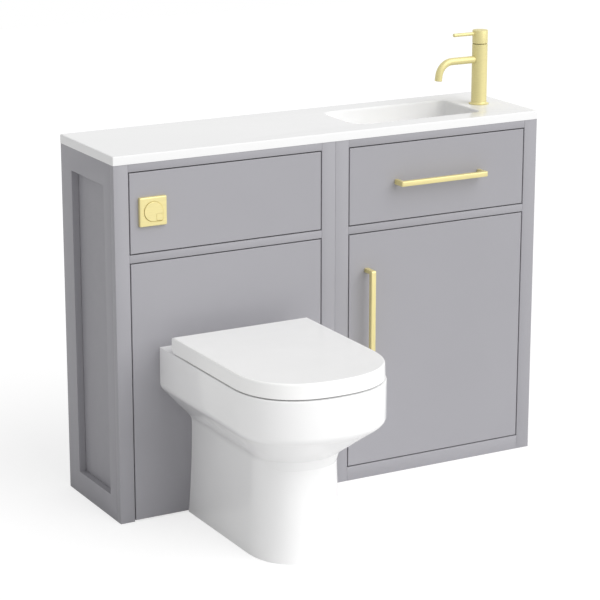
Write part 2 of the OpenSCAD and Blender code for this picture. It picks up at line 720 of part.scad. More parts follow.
// Bottle trap: cup, ribbed clean-out cap and a nut on the waste tube
module bottle_trap() color(pipe_white) at_front() translate([waste_x, waste_y, 0]) difference() {
    union() {
        trap_shell(0);
        bar_z(0, 0, waste_pipe_d / 2 + 5, trap_top_z - 4, trap_top_z - 4 + trap_nut_h);
        difference() {
            bar_z(0, 0, trap_r + 3, trap_base_z + 14, trap_base_z + 30);
            for (a = [0:30:330]) rotate(a)
                translate([trap_r + 3, 0, trap_base_z + 13]) cylinder(r = 1.5, h = 18);
        }
        bar_y(0, waste_outlet_z, trap_pipe_r + 5, 0, trap_r + 14);
    }
    trap_shell(3);
    bar_z(0, 0, waste_pipe_d / 2 + fit_gap, trap_top_z - 6, trap_top_z + trap_nut_h);
    bar_y(0, waste_outlet_z, trap_pipe_r + fit_gap, 0, trap_r + 15);
}
// Pipe to the wall, with a rose over the hole in the back panel
module trap_outlet() color(pipe_white) at_front() difference() {
    union() {
        bar_y(waste_x, waste_outlet_z, trap_pipe_r, waste_y + trap_r - 3, cabinet_d);
        bar_y(waste_x, waste_outlet_z, panel_hole_r + 4, back_panel_y - 3, back_panel_y);
    }
    bar_y(waste_x, waste_outlet_z, trap_pipe_r - 2, waste_y, cabinet_d + 1);
}

// ---------- tap ----------
module at_tap() at_front() translate([tap_x, tap_y, top_z]) children();
module spout_path(r, extra) run([[0, 0, spout_h], [-spout_reach, 0, spout_h],
    [-spout_reach, 0, spout_mouth_h - extra]], spout_bend) circle(r);
module tap_body() color(brushed_brass) at_tap() difference() {
    union() {
        // base flange with a coved edge, then the straight body
        rotate_extrude() polygon(concat(
            [[0, 0], [tap_flange_d / 2, 0], [tap_flange_d / 2, 1.5]],
            [for (a = [0:15:90]) let (rise = 4.5, spread = tap_flange_d / 2 - tap_r)
                [tap_r + spread * (1 - sin(a)), 1.5 + rise * (1 - cos(a))]],
            [[tap_r, tap_body_h], [0, tap_body_h]]));
        spout_path(spout_d / 2, 0);
    }
    bar_z(0, 0, cap_cavity_r, tap_body_h - 40, tap_body_h + 1);
    difference() {
        spout_path(spout_d / 2 - 2, 1);
        bar_z(0, 0, tap_r - 6, 0, tap_body_h);
    }
    // threaded sockets of the two inlets and of the fixing stud
    for (y = [-1, 1]) bar_z(inlet_x, y * inlet_y, inlet_r, -1, inlet_depth);
    bar_z(10, 0, 4, -1, inlet_depth);
}
module tap_aerator() color(steel_grey) at_tap() difference() {
    bar_z(-spout_reach, 0, spout_d / 2 - 2, spout_mouth_h, spout_mouth_h + aerator_h);
    for (a = [0:60:300])
        bar_z(3.2 * cos(a) - spout_reach, 3.2 * sin(a), 1, spout_mouth_h - 1,
              spout_mouth_h + aerator_h + 1);
}
module tap_cartridge() color(pipe_white) at_tap() difference() {
    bar_z(0, 0, cap_cavity_r - pin_gap, tap_body_h - 40, tap_body_h - 4);
    bar_z(0, 0, spindle_r + pin_gap, tap_body_h - 18, tap_body_h);
}
// The spindle turns in the cartridge; the lever cap tilts on its cross pin
module tap_spindle() color(steel_grey) at_tap() {
    bar_z(0, 0, spindle_r, tap_body_h - 18 + fit_gap, tap_body_h + tap_joint + 10);
    box([0, -4, tap_body_h + tap_joint + 0.5], [lever_pivot_x, 4, tap_body_h + tap_joint + 7.5]);
    translate([lever_pivot_x, 0, lever_pivot_z - top_z]) rotate([90, 0, 0])
        cylinder(r = lever_pin_r, h = 16, center = true);
}
module tap_lever() color(brushed_brass) at_tap() {
    cap_z = tap_body_h + tap_joint;
    difference() {
        union() {
            difference() {
                rotate_extrude() polygon([
                    [0, cap_z], [tap_r - cap_chamfer, cap_z], [tap_r, cap_z + cap_chamfer],
                    [tap_r, tap_body_h + tap_cap_h - 0.8], [tap_r - 0.8, tap_body_h + tap_cap_h],
                    [0, tap_body_h + tap_cap_h]]);
                bar_z(0, 0, cap_cavity_r, cap_z - 1, tap_body_h + tap_cap_h - 13);
            }
            for (s = [-1, 1]) translate([lever_pivot_x, s * 6.5, lever_pivot_z - top_z])
                rotate([90, 0, 0]) cylinder(r = 3.8, h = 3.4, center = true);
            for (s = [-1, 1]) box([lever_pivot_x - 2, s * 6.5 - 1.7, lever_pivot_z - top_z],
                [lever_pivot_x + 2, s * 6.5 + 1.7, tap_body_h + tap_cap_h - 12]);
        }
        translate([lever_pivot_x, 0, lever_pivot_z - top_z]) rotate([90, 0, 0])
            cylinder(r = lever_pin_r + pin_gap, h = 18, center = true);
    }
    translate([-lever_reach, 0, lever_z - top_z]) rotate([0, 90, 0])
        cylinder(d = lever_d, h = lever_reach - tap_r + 2);
}
// Stud, horseshoe washer and nut under the worktop
module tap_fixing() color(steel_grey) at_tap() {
    bar_z(10, 0, 4, -worktop_t - 26, inlet_depth);
    difference() {
        bar_z(0, 0, 24, -worktop_t - 3, -worktop_t);
        // the horseshoe's slot lets the tails past
        translate([inlet_x - 3, 0, -worktop_t - 4]) linear_extrude(5)
            rounded_rect(2 * (inlet_r + 4), 4 * inlet_y, 7);
        box([-30, -2 * inlet_y, -worktop_t - 4], [inlet_x - 3, 2 * inlet_y, -worktop_t + 1]);
    }
    translate([10, 0, -worktop_t - 13]) cylinder(r = 7.5, h = 10, $fn = 6);
}

// ---------- toilet ----------
function pan_section(z) =
    let (t = max(0, min(1, (z - waist_h) / (pan_h - band_h - waist_h))), s = flare(t, flare_straight),
         foot = pow(max(0, 1 - z / waist_h), 2))
    d_ring(lerp(waist_w / 2 + (foot_w - waist_w) / 2 * foot, pan_half, s), 0,
           -lerp(280, pan_straight, s), -lerp(foot_projection - 10 * (1 - foot), pan_projection, s), z);
function bowl_section(u) = let (c = bowl_curve(u, 0.55))
    egg_ring(lerp(toilet_bowl_w / 2, sump_half, c), lerp(bowl_rear, sump_rear, c),
             lerp(bowl_centre, sump_centre, c), lerp(bowl_nose, sump_nose, c), lerp(pan_h, sump_z, u));
// Outside, rim and bowl are one surface; behind the bowl the ware is open to the cabinet
module pan() color(white) at_pan() {
    band_z = pan_h - band_h;
    rim = egg_ring(toilet_bowl_w / 2 + rim_r, bowl_rear + rim_r, bowl_centre, bowl_nose - rim_r, pan_h);
    difference() {
        loft(concat(
            [for (i = [0:pedestal_steps]) pan_section(waist_h * i / pedestal_steps)],
            [for (i = [0:flare_steps])
                pan_section(lerp(waist_h, band_z, lerp(flare_straight, 1, i / flare_steps)))],
            [d_ring(pan_half, 0, -pan_straight, -pan_projection, pan_h - rim_r),
             d_ring(pan_half - 1, 0, -pan_straight, 1 - pan_projection, pan_h - 1),
             d_ring(pan_half - rim_r, 0, -pan_straight, rim_r - pan_projection, pan_h), rim],
            [for (i = [0.3, 1, 2, 3, 4, 5, 6, 7, 8, 9]) bowl_section(sin(90 * i / bowl_rings))]));
        box([-foot_cavity_half, cavity_front, -1], [foot_cavity_half, 1, cavity_base + 1]);
        box([-pan_half + cavity_side, cavity_front, cavity_base], [pan_half - cavity_side, 1, cavity_top]);
        trapway();
        bar_y(0, inlet_z, 15, -200, cavity_front + 1);
        for (s = [-1, 1]) bar_z(s * seat_hinge_span / 2, hinge_y, 8, cavity_top - 1, pan_h + 1);
    }
    // spigots of the soil outlet and of the flush inlet
    difference() {
        bar_y(0, soil_z, spigot_r, cavity_front - 1, -26);
        bar_y(0, soil_z, spigot_r - 8, cavity_front - 2, -25);
    }
    difference() {
        bar_y(0, inlet_z, inlet_boss_r, cavity_front - 1, -50);
        bar_y(0, inlet_z, cone_r, -85, -49);
        bar_y(0, inlet_z, 15, cavity_front - 2, -84);
    }
}
// The water trap: back from the sump, up, and over the weir to the outlet
module trapway() let (mouth_z = sump_z + trapway_r + 2, y = cavity_front - trapway_r - 16)
    run([[0, sump_centre, mouth_z], [0, y, mouth_z], [0, y, soil_z], [0, cavity_front + 2, soil_z]],
        trapway_bend) circle(trapway_r);

function seat_ring(inset, z) = d_ring(lid_w / 2 - lid_t - 2.5 - inset, hinge_y - 14 - inset, -pan_straight,
    -(lid_projection - lid_t - 2.5 - inset), z);
function seat_hole(grow, z) =
    egg_ring(seat_hole_half + grow, seat_hole_rear + grow, seat_hole_centre, seat_hole_front - grow, z);
module seat() color(white) at_pan() difference() {
    union() {
        loop_loft([seat_ring(0, seat_base_z), seat_ring(0, seat_top_z - 5), seat_ring(1.5, seat_top_z - 1.5),
                   seat_ring(5, seat_top_z), seat_hole(12, seat_top_z), seat_hole(4, seat_top_z - 3),
                   seat_hole(0, seat_top_z - 8), seat_hole(0, seat_base_z)]);
        at_hinges(-1) {
            bar_x([0, hinge_y, hinge_z], ear_r, ear_w / 2);
            box([-ear_w / 2, hinge_y - 20, seat_base_z + 1], [ear_w / 2, hinge_y, seat_top_z - 3]);
        }
    }
    at_hinges(-1) bar_x([0, hinge_y, hinge_z], hinge_pin_radius + pin_gap, ear_w / 2 + 1);
}
// Beside each hinge post: side -1 is nearer the middle, +1 is further out
module at_hinges(side) for (s = [-1, 1])
    translate([s * (seat_hinge_span / 2 + side * (post_w / 2 + ear_gap + ear_w / 2)), 0, 0]) children();

function lid_ring(inset, z) = d_ring(lid_w / 2 - inset, -lid_setback - inset, -pan_straight,
    -(lid_projection - inset), z);
module lid() color(white) at_pan() difference() {
    union() {
        difference() {
            loft([lid_ring(lid_t + lid_draft, lid_ceiling_z), lid_ring(lid_t, pan_h + skirt_gap),
                  lid_ring(0, pan_h + skirt_gap), lid_ring(lid_draft, lid_top_z - lid_edge_r),
                  lid_ring(lid_draft + 0.13 * lid_edge_r, lid_top_z - 0.5 * lid_edge_r),
                  lid_ring(lid_draft + 0.5 * lid_edge_r, lid_top_z - 0.13 * lid_edge_r),
                  lid_ring(lid_draft + lid_edge_r, lid_top_z)]);
            // no skirt at the back, and round rear corners, so that the lid turns clear of the rim
            box([-lid_w / 2 + 9, hinge_y - 25, pan_h], [lid_w / 2 - 9, 0, lid_ceiling_z]);
            difference() {
                box([-lid_w, hinge_y, pan_h], [lid_w, 0, hinge_z]);
                bar_x([0, hinge_y, hinge_z], hinge_corner_r, lid_w);
            }
        }
        at_hinges(1) {
            bar_x([0, hinge_y, hinge_z], ear_r, ear_w / 2);
            box([-ear_w / 2, hinge_y - ear_r, hinge_z], [ear_w / 2, hinge_y + ear_r, lid_ceiling_z + 1]);
        }
    }
    at_hinges(1) bar_x([0, hinge_y, hinge_z], hinge_pin_radius + pin_gap, ear_w / 2 + 1);
}
// Posts on the rim, each with its bolt and a nut under the ware
module seat_hinge_posts() color(steel_grey) at_pan() for (s = [-1, 1])
    translate([s * seat_hinge_span / 2, hinge_y, 0]) difference() {
        union() {
            bar_x([0, 0, hinge_z], post_r, post_w / 2);
            bar_z(0, 0, 10, pan_h, hinge_z);
            bar_z(0, 0, 4, cavity_top - 16, pan_h);
            translate([0, 0, cavity_top - 9]) cylinder(r = 15, h = 9, $fn = 6);
        }
        bar_x([0, 0, hinge_z], hinge_pin_radius, post_w / 2 + 1);
    }
module seat_hinge_pins() color(steel_grey) at_pan() for (s = [-1, 1])
    bar_x([s * seat_hinge_span / 2, hinge_y, hinge_z], hinge_pin_radius, post_w / 2 + ear_gap + ear_w);
module seat_buffers() color(white) at_pan() for (s = [-1, 1], p = buffer_spots)
    bar_z(s * p.x, p.y, seat_buffer_r, pan_h, seat_base_z);
module lid_buffers() color(white) at_pan() for (s = [-1, 1], p = buffer_spots)
    bar_z(s * p.x, p.y, lid_buffer_r, seat_top_z, lid_ceiling_z);

// Soil connector: a finned socket over the spigot, then the pipe to the wall
module pan_connector() color(pipe_white) at_pan() difference() {
    union() {
        bar_y(0, soil_z, spigot_r + 9, socket_front, socket_back);
        bar_y(0, soil_z, soil_d / 2, socket_back - 1, cabinet_d);
        for (y = [cabinet_d - 40, cabinet_d - 25]) bar_y(0, soil_z, soil_d / 2 + 2, y, y + 3);
    }
    bar_y(0, soil_z, spigot_r + fit_gap, socket_front - 1, socket_back - 10);
    bar_y(0, soil_z, soil_d / 2 - 4, socket_back - 11, cabinet_d + 1);
}
module flush_cone() color(rubber_black) at_pan() difference() {
    union() {
        bar_y(0, inlet_z, cone_r, -80, -50);
        bar_y(0, inlet_z, cone_r + 5, -50, -44);
    }
    bar_y(0, inlet_z, flush_pipe_d / 2, -81, -43);
}

// ---------- cistern ----------
module at_tank() at_front() translate([pan_x, tank_y, 0]) children();
module cistern_tank() color(white) difference() {
    at_tank() translate([0, 0, tank_base_z]) difference() {
        linear_extrude(tank_h) rounded_rect(tank_w, tank_d, tank_corner);
        translate([0, 0, tank_wall]) linear_extrude(tank_h)
            rounded_rect(tank_w - 2 * tank_wall, tank_d - 2 * tank_wall, tank_corner - tank_wall);
    }
    at_tank() bar_z(0, 0, valve_tail_r + fit_gap, tank_base_z - 1, valve_floor_z + 1);
    at_front() bar_z(fill_x, tank_y, fill_tail_r + fit_gap, tank_base_z - 1, valve_floor_z + 1);
}
module cistern_lid() color(white) at_tank() difference() {
    union() {
        translate([0, 0, tank_top_z]) linear_extrude(tank_lid_t) rounded_rect(tank_w, tank_d, tank_corner);
        translate([0, 0, tank_top_z - 6]) linear_extrude(7)
            rounded_rect(tank_w - 2 * tank_wall - 1, tank_d - 2 * tank_wall - 1, tank_corner - tank_wall);
    }
    translate([0, 0, tank_top_z - 7]) linear_extrude(7)
        rounded_rect(tank_w - 2 * tank_wall - 8, tank_d - 2 * tank_wall - 8, tank_corner - tank_wall - 3);
    for (s = [-1, 1]) bar_z(s * 10, 0, hose_r + 1, tank_top_z - 1, tank_top_z + tank_lid_t + 1);
}
module flush_pipe() color(pipe_white) at_front() difference() {
    run([[pan_x, tank_y, tank_base_z - 10], [pan_x, tank_y, inlet_z], [pan_x, -80, inlet_z]], flush_bend)
        circle(flush_pipe_d / 2);
    run([[pan_x, tank_y, tank_base_z - 9], [pan_x, tank_y, inlet_z], [pan_x, -81, inlet_z]], flush_bend)
        circle(flush_pipe_d / 2 - 2);
}
// Outlet seat with its tail and nut, a cage of four legs and the head that takes the air hoses
module flush_valve() color(pipe_white) at_tank() difference() {
    union() {
        bar_z(0, 0, valve_tail_r, tank_base_z - valve_tail_h, valve_floor_z + 1);
        bar_z(0, 0, flush_pipe_d / 2 + 5, tank_base_z - 9, tank_base_z);
        bar_z(0, 0, cage_r, valve_floor_z, valve_floor_z + 8);
        for (a = [45:90:315]) rotate(a)
            box([cage_r - 7, -4, valve_floor_z], [cage_r, 4, cage_top_z]);
        bar_z(0, 0, cage_r, cage_top_z - 6, valve_head_z);
    }
    bar_z(0, 0, valve_tail_r - 2.5, tank_base_z - valve_tail_h - 1, valve_floor_z + 9);
    bar_z(0, 0, lifter_r + fit_gap, cage_top_z - 7, valve_head_z + 1);
}
module flush_lifter() color(rubber_black) at_tank() {
    bar_z(0, 0, lifter_r, valve_floor_z + 8, cage_top_z + lifter_travel);
    bar_z(0, 0, valve_tail_r + 6, valve_floor_z + 8, valve_floor_z + 13);
}
module fill_valve() color(pipe_white) at_front() translate([fill_x, tank_y, 0]) {
    bar_z(0, 0, fill_tail_r, tank_base_z - fill_tail_h, valve_floor_z + 1);
    bar_z(0, 0, 16, valve_floor_z, valve_floor_z + 5);
    translate([0, 0, tank_base_z - 9]) cylinder(r = 17, h = 9, $fn = 6);
    bar_z(0, 0, fill_r, valve_floor_z + 5, float_z + float_travel + 50);
    bar_z(0, 0, fill_r + 4, float_z - 6, float_z - fit_gap);
    bar_z(0, 0, fill_r + 10, float_z + float_travel + 42, float_z + float_travel + 56);
}
module fill_float() color(rubber_black) at_front() translate([fill_x, tank_y, 0]) difference() {
    bar_z(0, 0, 28, float_z, float_z + 40);
    bar_z(0, 0, fill_r + fit_gap, float_z - 1, float_z + 41);
    difference() {
        bar_z(0, 0, 25.5, float_z - 1, float_z + 37);
        bar_z(0, 0, fill_r + 3, float_z - 2, float_z + 38);
    }
}

// ---------- flush plate ----------
module at_plate() at_front() translate([plate_cx, 0, plate_cz]) children();
module flat_on_plate() multmatrix([[1, 0, 0, 0], [0, 0, -1, 0], [0, 1, 0, 0], [0, 0, 0, 1]]) children();
// Outline of both buttons together: a circle, squared off at its lower right
module button_outline(grow) {
    circle(button_r + grow);
    translate([0, -button_r - grow]) square([button_r + grow - 3, button_r + grow]);
    translate([0, -button_r - grow + 3]) square([button_r + grow, button_r + grow - 3]);
    translate([button_r + grow - 3, -button_r - grow + 3]) circle(3);
}
module half_outline(grow) translate([half_gap_x + half_side / 2, -half_gap_z - half_side / 2])
    rounded_square(half_side + 2 * grow, 2);
module flush_plate() color(brushed_brass) at_plate() difference() {
    intersection() {
        translate([0, 0, -plate_side / 2]) linear_extrude(plate_side)
            translate([0, -plate_t]) eased(-plate_side / 2, plate_side / 2, plate_t, plate_edge_r);
        multmatrix([[0, 0, 1, -plate_side / 2], [0, 1, 0, 0], [1, 0, 0, 0], [0, 0, 0, 1]])
            linear_extrude(plate_side)
            translate([0, -plate_t]) eased(-plate_side / 2, plate_side / 2, plate_t, plate_edge_r);
    }
    flat_on_plate() translate([0, 0, -1]) linear_extrude(plate_t + 2) button_outline(button_gap);
}
module full_flush_button() color(brushed_brass) at_plate() {
    flat_on_plate() translate([0, 0, plate_t + button_proud - button_head]) linear_extrude(button_head)
        difference() {
            button_outline(0);
            half_outline(button_gap);
        }
    bar_y(-8, 5, stem_r, -plate_t - button_proud + button_head - 1, 10);
}
module half_flush_button() color(brushed_brass) at_plate() {
    flat_on_plate() translate([0, 0, plate_t + button_proud - button_head]) linear_extrude(button_head)
        half_outline(0);
    bar_y(12, -12, stem_r, -plate_t - button_proud + button_head - 1, 10);
}
// Air pumps of the two buttons, clamped through the panel by a ring
module button_housing() color(pipe_white) at_plate() difference() {
    union() {
        bar_y(0, 0, housing_r, 0, housing_d);
        bar_y(0, 0, housing_r + 7, board_t, board_t + 8);
        for (s = [-1, 1]) bar_y(s * 10, 0, hose_r + 2, housing_d, housing_d + 8);
    }
    bar_y(-8, 5, stem_r + fit_gap, -1, 10 + button_travel + 1);
    bar_y(12, -12, stem_r + fit_gap, -1, 10 + button_travel + 1);
}
// From the pumps up over the cistern and down through its lid to the valve's head
module air_hoses() color(rubber_black) at_front() for (s = [-1, 1]) let (y = housing_d + 34 - s * 10)
    run([[plate_cx + s * 10, housing_d + 8, plate_cz], [plate_cx + s * 10, y, plate_cz],
         [plate_cx + s * 10, y, hose_z], [pan_x + s * 10, y, hose_z], [pan_x + s * 10, tank_y, hose_z],
         [pan_x + s * 10, tank_y, valve_head_z]], 10) circle(hose_r);

wc_side_board();
wc_end_frame();
inner_boards();
wall_rails();
wc_stiles();
wc_rails();
access_panel();
wc_lower_panel();
panel_blocks();
basin_side_board();
basin_end_frame();
basin_base_board();
basin_back_panel();
basin_stiles();
basin_rails();
door();
door_handle();
hinge_cups();
hinge_pins();
hinge_arms();
drawer_front();
drawer_box();
drawer_base();
drawer_handle();
runner_packer();
fixed_runners();
sliding_runners();
basin_worktop();
waste_flange();
waste_backnut();
waste_plug();
bottle_trap();
trap_outlet();
tap_body();
tap_aerator();
tap_cartridge();
tap_spindle();
tap_lever();
tap_fixing();
pan();
seat();
lid();
seat_hinge_posts();
seat_hinge_pins();
seat_buffers();
lid_buffers();
pan_connector();
flush_cone();
cistern_tank();
cistern_lid();
flush_pipe();
flush_valve();
flush_lifter();
fill_valve();
fill_float();
flush_plate();
full_flush_button();
half_flush_button();
button_housing();
air_hoses();
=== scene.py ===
"""Looks of a toilet and basin combination unit, built as an add-on around its CAD frame."""

import json
import math

import bmesh
import bpy
from bpy.props import FloatProperty, FloatVectorProperty, PointerProperty
from mathutils import Matrix, Vector


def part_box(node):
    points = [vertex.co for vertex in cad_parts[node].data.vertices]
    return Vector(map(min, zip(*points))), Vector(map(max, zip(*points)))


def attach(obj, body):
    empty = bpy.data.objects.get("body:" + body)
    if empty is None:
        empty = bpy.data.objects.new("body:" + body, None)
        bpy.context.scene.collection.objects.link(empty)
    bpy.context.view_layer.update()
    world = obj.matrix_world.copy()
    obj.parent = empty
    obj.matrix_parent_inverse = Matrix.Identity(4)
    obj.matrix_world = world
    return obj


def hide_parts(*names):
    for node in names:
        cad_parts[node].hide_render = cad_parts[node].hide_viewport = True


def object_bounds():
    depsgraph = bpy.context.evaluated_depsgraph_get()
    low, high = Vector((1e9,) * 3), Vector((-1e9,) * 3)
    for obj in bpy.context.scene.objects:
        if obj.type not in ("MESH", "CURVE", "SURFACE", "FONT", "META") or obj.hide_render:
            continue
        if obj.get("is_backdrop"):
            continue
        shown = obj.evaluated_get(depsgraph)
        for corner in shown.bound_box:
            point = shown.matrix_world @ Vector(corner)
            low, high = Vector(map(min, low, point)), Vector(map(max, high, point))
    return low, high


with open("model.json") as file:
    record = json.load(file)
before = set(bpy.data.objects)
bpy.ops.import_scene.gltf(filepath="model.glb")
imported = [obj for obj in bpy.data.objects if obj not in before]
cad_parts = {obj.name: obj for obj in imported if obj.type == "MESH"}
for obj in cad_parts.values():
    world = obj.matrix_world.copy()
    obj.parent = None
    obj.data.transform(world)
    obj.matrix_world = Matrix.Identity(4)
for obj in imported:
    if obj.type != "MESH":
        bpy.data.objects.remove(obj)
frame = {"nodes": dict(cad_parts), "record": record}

bl_info = {
    "name": "Toilet and basin unit",
    "version": (1, 0, 0),
    "blender": (4, 5, 0),
    "location": "3D View > Sidebar > Bath unit",
    "description": "Ware, worktop, tap, fronts and fittings of a toilet and basin unit",
    "category": "Object",
}

MM = 0.001

# Places come from the frame, in metres, and the sizes that it doesn't give are named in millimetres
NODES = frame["nodes"]
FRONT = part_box("door")[0].y            # the cabinets' front face
PAN_LOW, PAN_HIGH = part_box("pan")
PAN_X = (PAN_LOW.x + PAN_HIGH.x) / 2
RIM = PAN_HIGH.z / MM
TOP_LOW, TOP_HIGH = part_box("basin_worktop")
TOP_LOW.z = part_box("basin_side_board")[1].z     # the slab alone: the bowl hangs further down
PLATE_LOW, PLATE_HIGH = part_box("flush_plate")
PLATE_MIDDLE = (PLATE_LOW + PLATE_HIGH) / 2
SQUARE = ((-1, -1), (-1, 1), (1, 1), (1, -1))


def on_axis(node, z):
    """The middle of a node's box in plan, at a height."""
    low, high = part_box(node)
    return Vector(((low.x + high.x) / 2, (low.y + high.y) / 2, z))


TAP = on_axis("tap_cartridge", TOP_HIGH.z)
WASTE = on_axis("waste_flange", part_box("waste_flange")[1].z)


# ---------- colours ----------
def linear(code):
    """An sRGB hex colour as the linear colour that shaders take."""
    parts = [int(code[i:i + 2], 16) / 255 for i in (1, 3, 5)]
    return tuple(c / 12.92 if c <= 0.04045 else ((c + 0.055) / 1.055) ** 2.4 for c in parts)


def colour(name, code, description):
    return FloatVectorProperty(name=name, description=description, subtype="COLOR", size=3,
                               min=0, max=1, default=linear(code))


def length(name, millimetres, description):
    return FloatProperty(name=name, description=description, unit="LENGTH", min=0,
                         default=millimetres * MM)


class BathUnitFinishes(bpy.types.PropertyGroup):
    """Colours of the finishes."""
    front: colour("Fronts", "#9F9EA3", "Sprayed lacquer of the fronts and frames")
    carcass: colour("Carcass", "#9D9CA1", "Faced board inside the cabinets")
    drawer: colour("Drawer", "#EDEDEA", "Faced board of the drawer box")
    worktop: colour("Worktop", "#ECECEC", "Gelcoat of the worktop and basin")
    ware: colour("Ware", "#F7F7F7", "Glaze of the toilet")
    seat: colour("Seat", "#FDFDFC", "Moulded seat and lid")
    brass: colour("Brass", "#E8DB9E", "Brushed brass of the handles and the flush plate")
    tap: colour("Tap", "#E1D699", "Brushed brass of the tap and the plug")
    steel: colour("Steel", "#C9CBCE", "Plated steel of hinges, runners and screws")
    pipe: colour("Pipe", "#EDEDEA", "Moulded pipes, trap and valves")
    cistern: colour("Cistern", "#E9EAEA", "Moulded cistern")
    rubber: colour("Rubber", "#2C2C2E", "Seals, buffers and hoses")
    floor: colour("Floor", "#EEEEEE", "Floor of the studio")


class BathUnitSizes(bpy.types.PropertyGroup):
    """Sizes of the looks that the frame doesn't set."""
    board_edge: length("Board edge", 0.8, "Eased edge of the painted frame members")
    worktop_edge: length("Worktop edge", 3.0, "Radius on the worktop's upper edges")
    basin_lip: length("Basin lip", 4.0, "Soft radius of the basin's lip")
    crease: length("Crease", 14.0, "Half the height of the bend at the waist of the toilet's foot")
    rim_edge: length("Rim edge", 2.0, "Radius of the toilet's rim")
    lid_edge: length("Lid edge", 4.0, "Radius on the lid's upper edge")
    metal_edge: length("Metal edge", 0.5, "Broken edge of turned metal parts")
    bar_edge: length("Bar edge", 1.5, "Radius on the edges of the handles' square bar")


class BathUnitStudio(bpy.types.PropertyGroup):
    """Light and camera of the studio."""
    key: FloatProperty(name="Key light", description="Light on a face square to the key lamp", min=0,
                       default=0.68)
    fill: FloatProperty(name="Fill light", description="Light from all round", min=0, default=0.56)
    key_size: FloatProperty(name="Key size", description="Apparent size of the key lamp",
                            subtype="ANGLE", default=math.radians(60))
    lens: FloatProperty(name="Lens", description="Focal length on a 36 mm frame", unit="CAMERA",
                        min=1, default=135.9)
    yaw: FloatProperty(name="Yaw", description="Turn of the view to the right", subtype="ANGLE",
                       default=math.radians(28.925))
    pitch: FloatProperty(name="Pitch", description="Tilt of the view downwards", subtype="ANGLE",
                         default=math.radians(15.552))


# ---------- meshes ----------
def lerp(a, b, t):
    return a + (b - a) * t


def quarter(steps):
    """Angles from 0 to 90 degrees."""
    return [math.radians(90 * i / steps) for i in range(steps + 1)]


def quarter_round(radius, steps):
    """A rounded edge from its side to its top, as pairs of inset and way to go up."""
    return [(radius * (1 - math.cos(t)), radius * (1 - math.sin(t))) for t in quarter(steps)]


def sines(start, end, steps):
    """Shares of a depth that lie closer together towards the bottom, from a range of degrees."""
    return [math.sin(math.radians(lerp(start, end, i / steps))) for i in range(steps + 1)]


def at(x, y, z):
    """A point in millimetres from the seam of the cabinets, their front face and the floor."""
    return Vector((x * MM, FRONT + y * MM, z * MM))


def at_pan(x, y, z):
    """The same from the middle of the toilet."""
    return Vector((PAN_X + x * MM, FRONT + y * MM, z * MM))


def loft(bm, sections, ends="capped"):
    """Skins sections of equally many points; returns the edges of the first and of the last one. Its
    ends are capped, open, or joined to each other."""
    verts = bmesh.ops.create_circle(bm, segments=len(sections[0]), radius=1)["verts"]
    for vert, point in zip(verts, sections[0]):
        vert.co = point
    edges = list(dict.fromkeys(e for v in verts for e in v.link_edges))
    first = edges
    if ends == "capped":
        bmesh.ops.edgeloop_fill(bm, edges=edges)
    for section in sections[1:]:
        order = {tuple(v.co): i for i, v in enumerate(verts)}
        made = bmesh.ops.extrude_edge_only(bm, edges=edges)["geom"]
        edges = [e for e in made if isinstance(e, bmesh.types.BMEdge)]
        found = [v for v in made if isinstance(v, bmesh.types.BMVert)]
        verts = sorted(found, key=lambda v: order[tuple(v.co)])
        last = set(verts)
        edges = [e for e in edges if e.verts[0] in last and e.verts[1] in last]
        for vert, point in zip(verts, section):
            vert.co = point
    if ends == "capped":
        bmesh.ops.edgeloop_fill(bm, edges=edges)
    elif ends == "joined":
        bmesh.ops.bridge_loops(bm, edges=first + edges)
    return first, edges


def fill(bm, *loops):
    """Fills a level face whose outline and holes are loops of edges."""
    bmesh.ops.triangle_fill(bm, use_beauty=True, edges=[e for loop in loops for e in loop])


def between(a, corner, b, steps):
    """Sections that round the corner between two sections."""
    shares = [i / steps for i in range(steps + 1)]
    return [[p * (1 - t) ** 2 + q * 2 * t * (1 - t) + r * t * t for p, q, r in zip(a, corner, b)]
            for t in shares]


def soften(points, radius, steps=4):
    """A closed outline with its corners rounded by one radius, or by a list of them."""
    radii = radius if isinstance(radius, list) else [radius] * len(points)
    out = []
    for i, (point, r) in enumerate(zip(points, radii)):
        back, ahead = points[i - 1] - point, points[(i + 1) % len(points)] - point
        a = point + back.normalized() * min(r, back.length / 2)
        b = point + ahead.normalized() * min(r, ahead.length / 2)
        out += [row[0] for row in between([a], [point], [b], steps)]
    return out


def circle(centre, radius, steps=48, axis="z"):
    """Points of a circle square to an axis."""
    turns = [2 * math.pi * i / steps for i in range(steps)]
    flat = [(radius * math.cos(t), radius * math.sin(t)) for t in turns]
    place = {"x": lambda a, b: Vector((0, a, b)), "y": lambda a, b: Vector((b, 0, a)),
             "z": lambda a, b: Vector((a, b, 0))}[axis]
    return [centre + place(a, b) for a, b in flat]


def revolve(bm, profile, centre, steps=64):
    """Turns a profile of (radius, height) in millimetres about a vertical axis."""
    verts = [bm.verts.new(centre + Vector((r * MM, 0, z * MM))) for r, z in profile]
    edges = [bm.edges.new(pair) for pair in zip(verts, verts[1:])]
    bmesh.ops.spin(bm, geom=verts + edges, cent=centre, axis=(0, 0, 1), angle=2 * math.pi,
                   steps=steps, use_merge=True)


def tube(bm, path, radius, side, tip=None, steps=32):
    """A round bar along a path that lies square to side; tip is a last point with its own radius."""
    path = [(point, radius) for point in path] + ([tip] if tip else [])
    sections = []
    turns = [2 * math.pi * k / steps for k in range(steps)]
    for i, (point, r) in enumerate(path):
        before = (point - path[i - 1][0]).normalized() if i else Vector()
        after = (path[i + 1][0] - point).normalized() if i < len(path) - 1 else Vector()
        up = side.cross((before + after).normalized())
        sections.append([point + side * r * math.cos(t) + up * r * math.sin(t) for t in turns])
    loft(bm, sections)


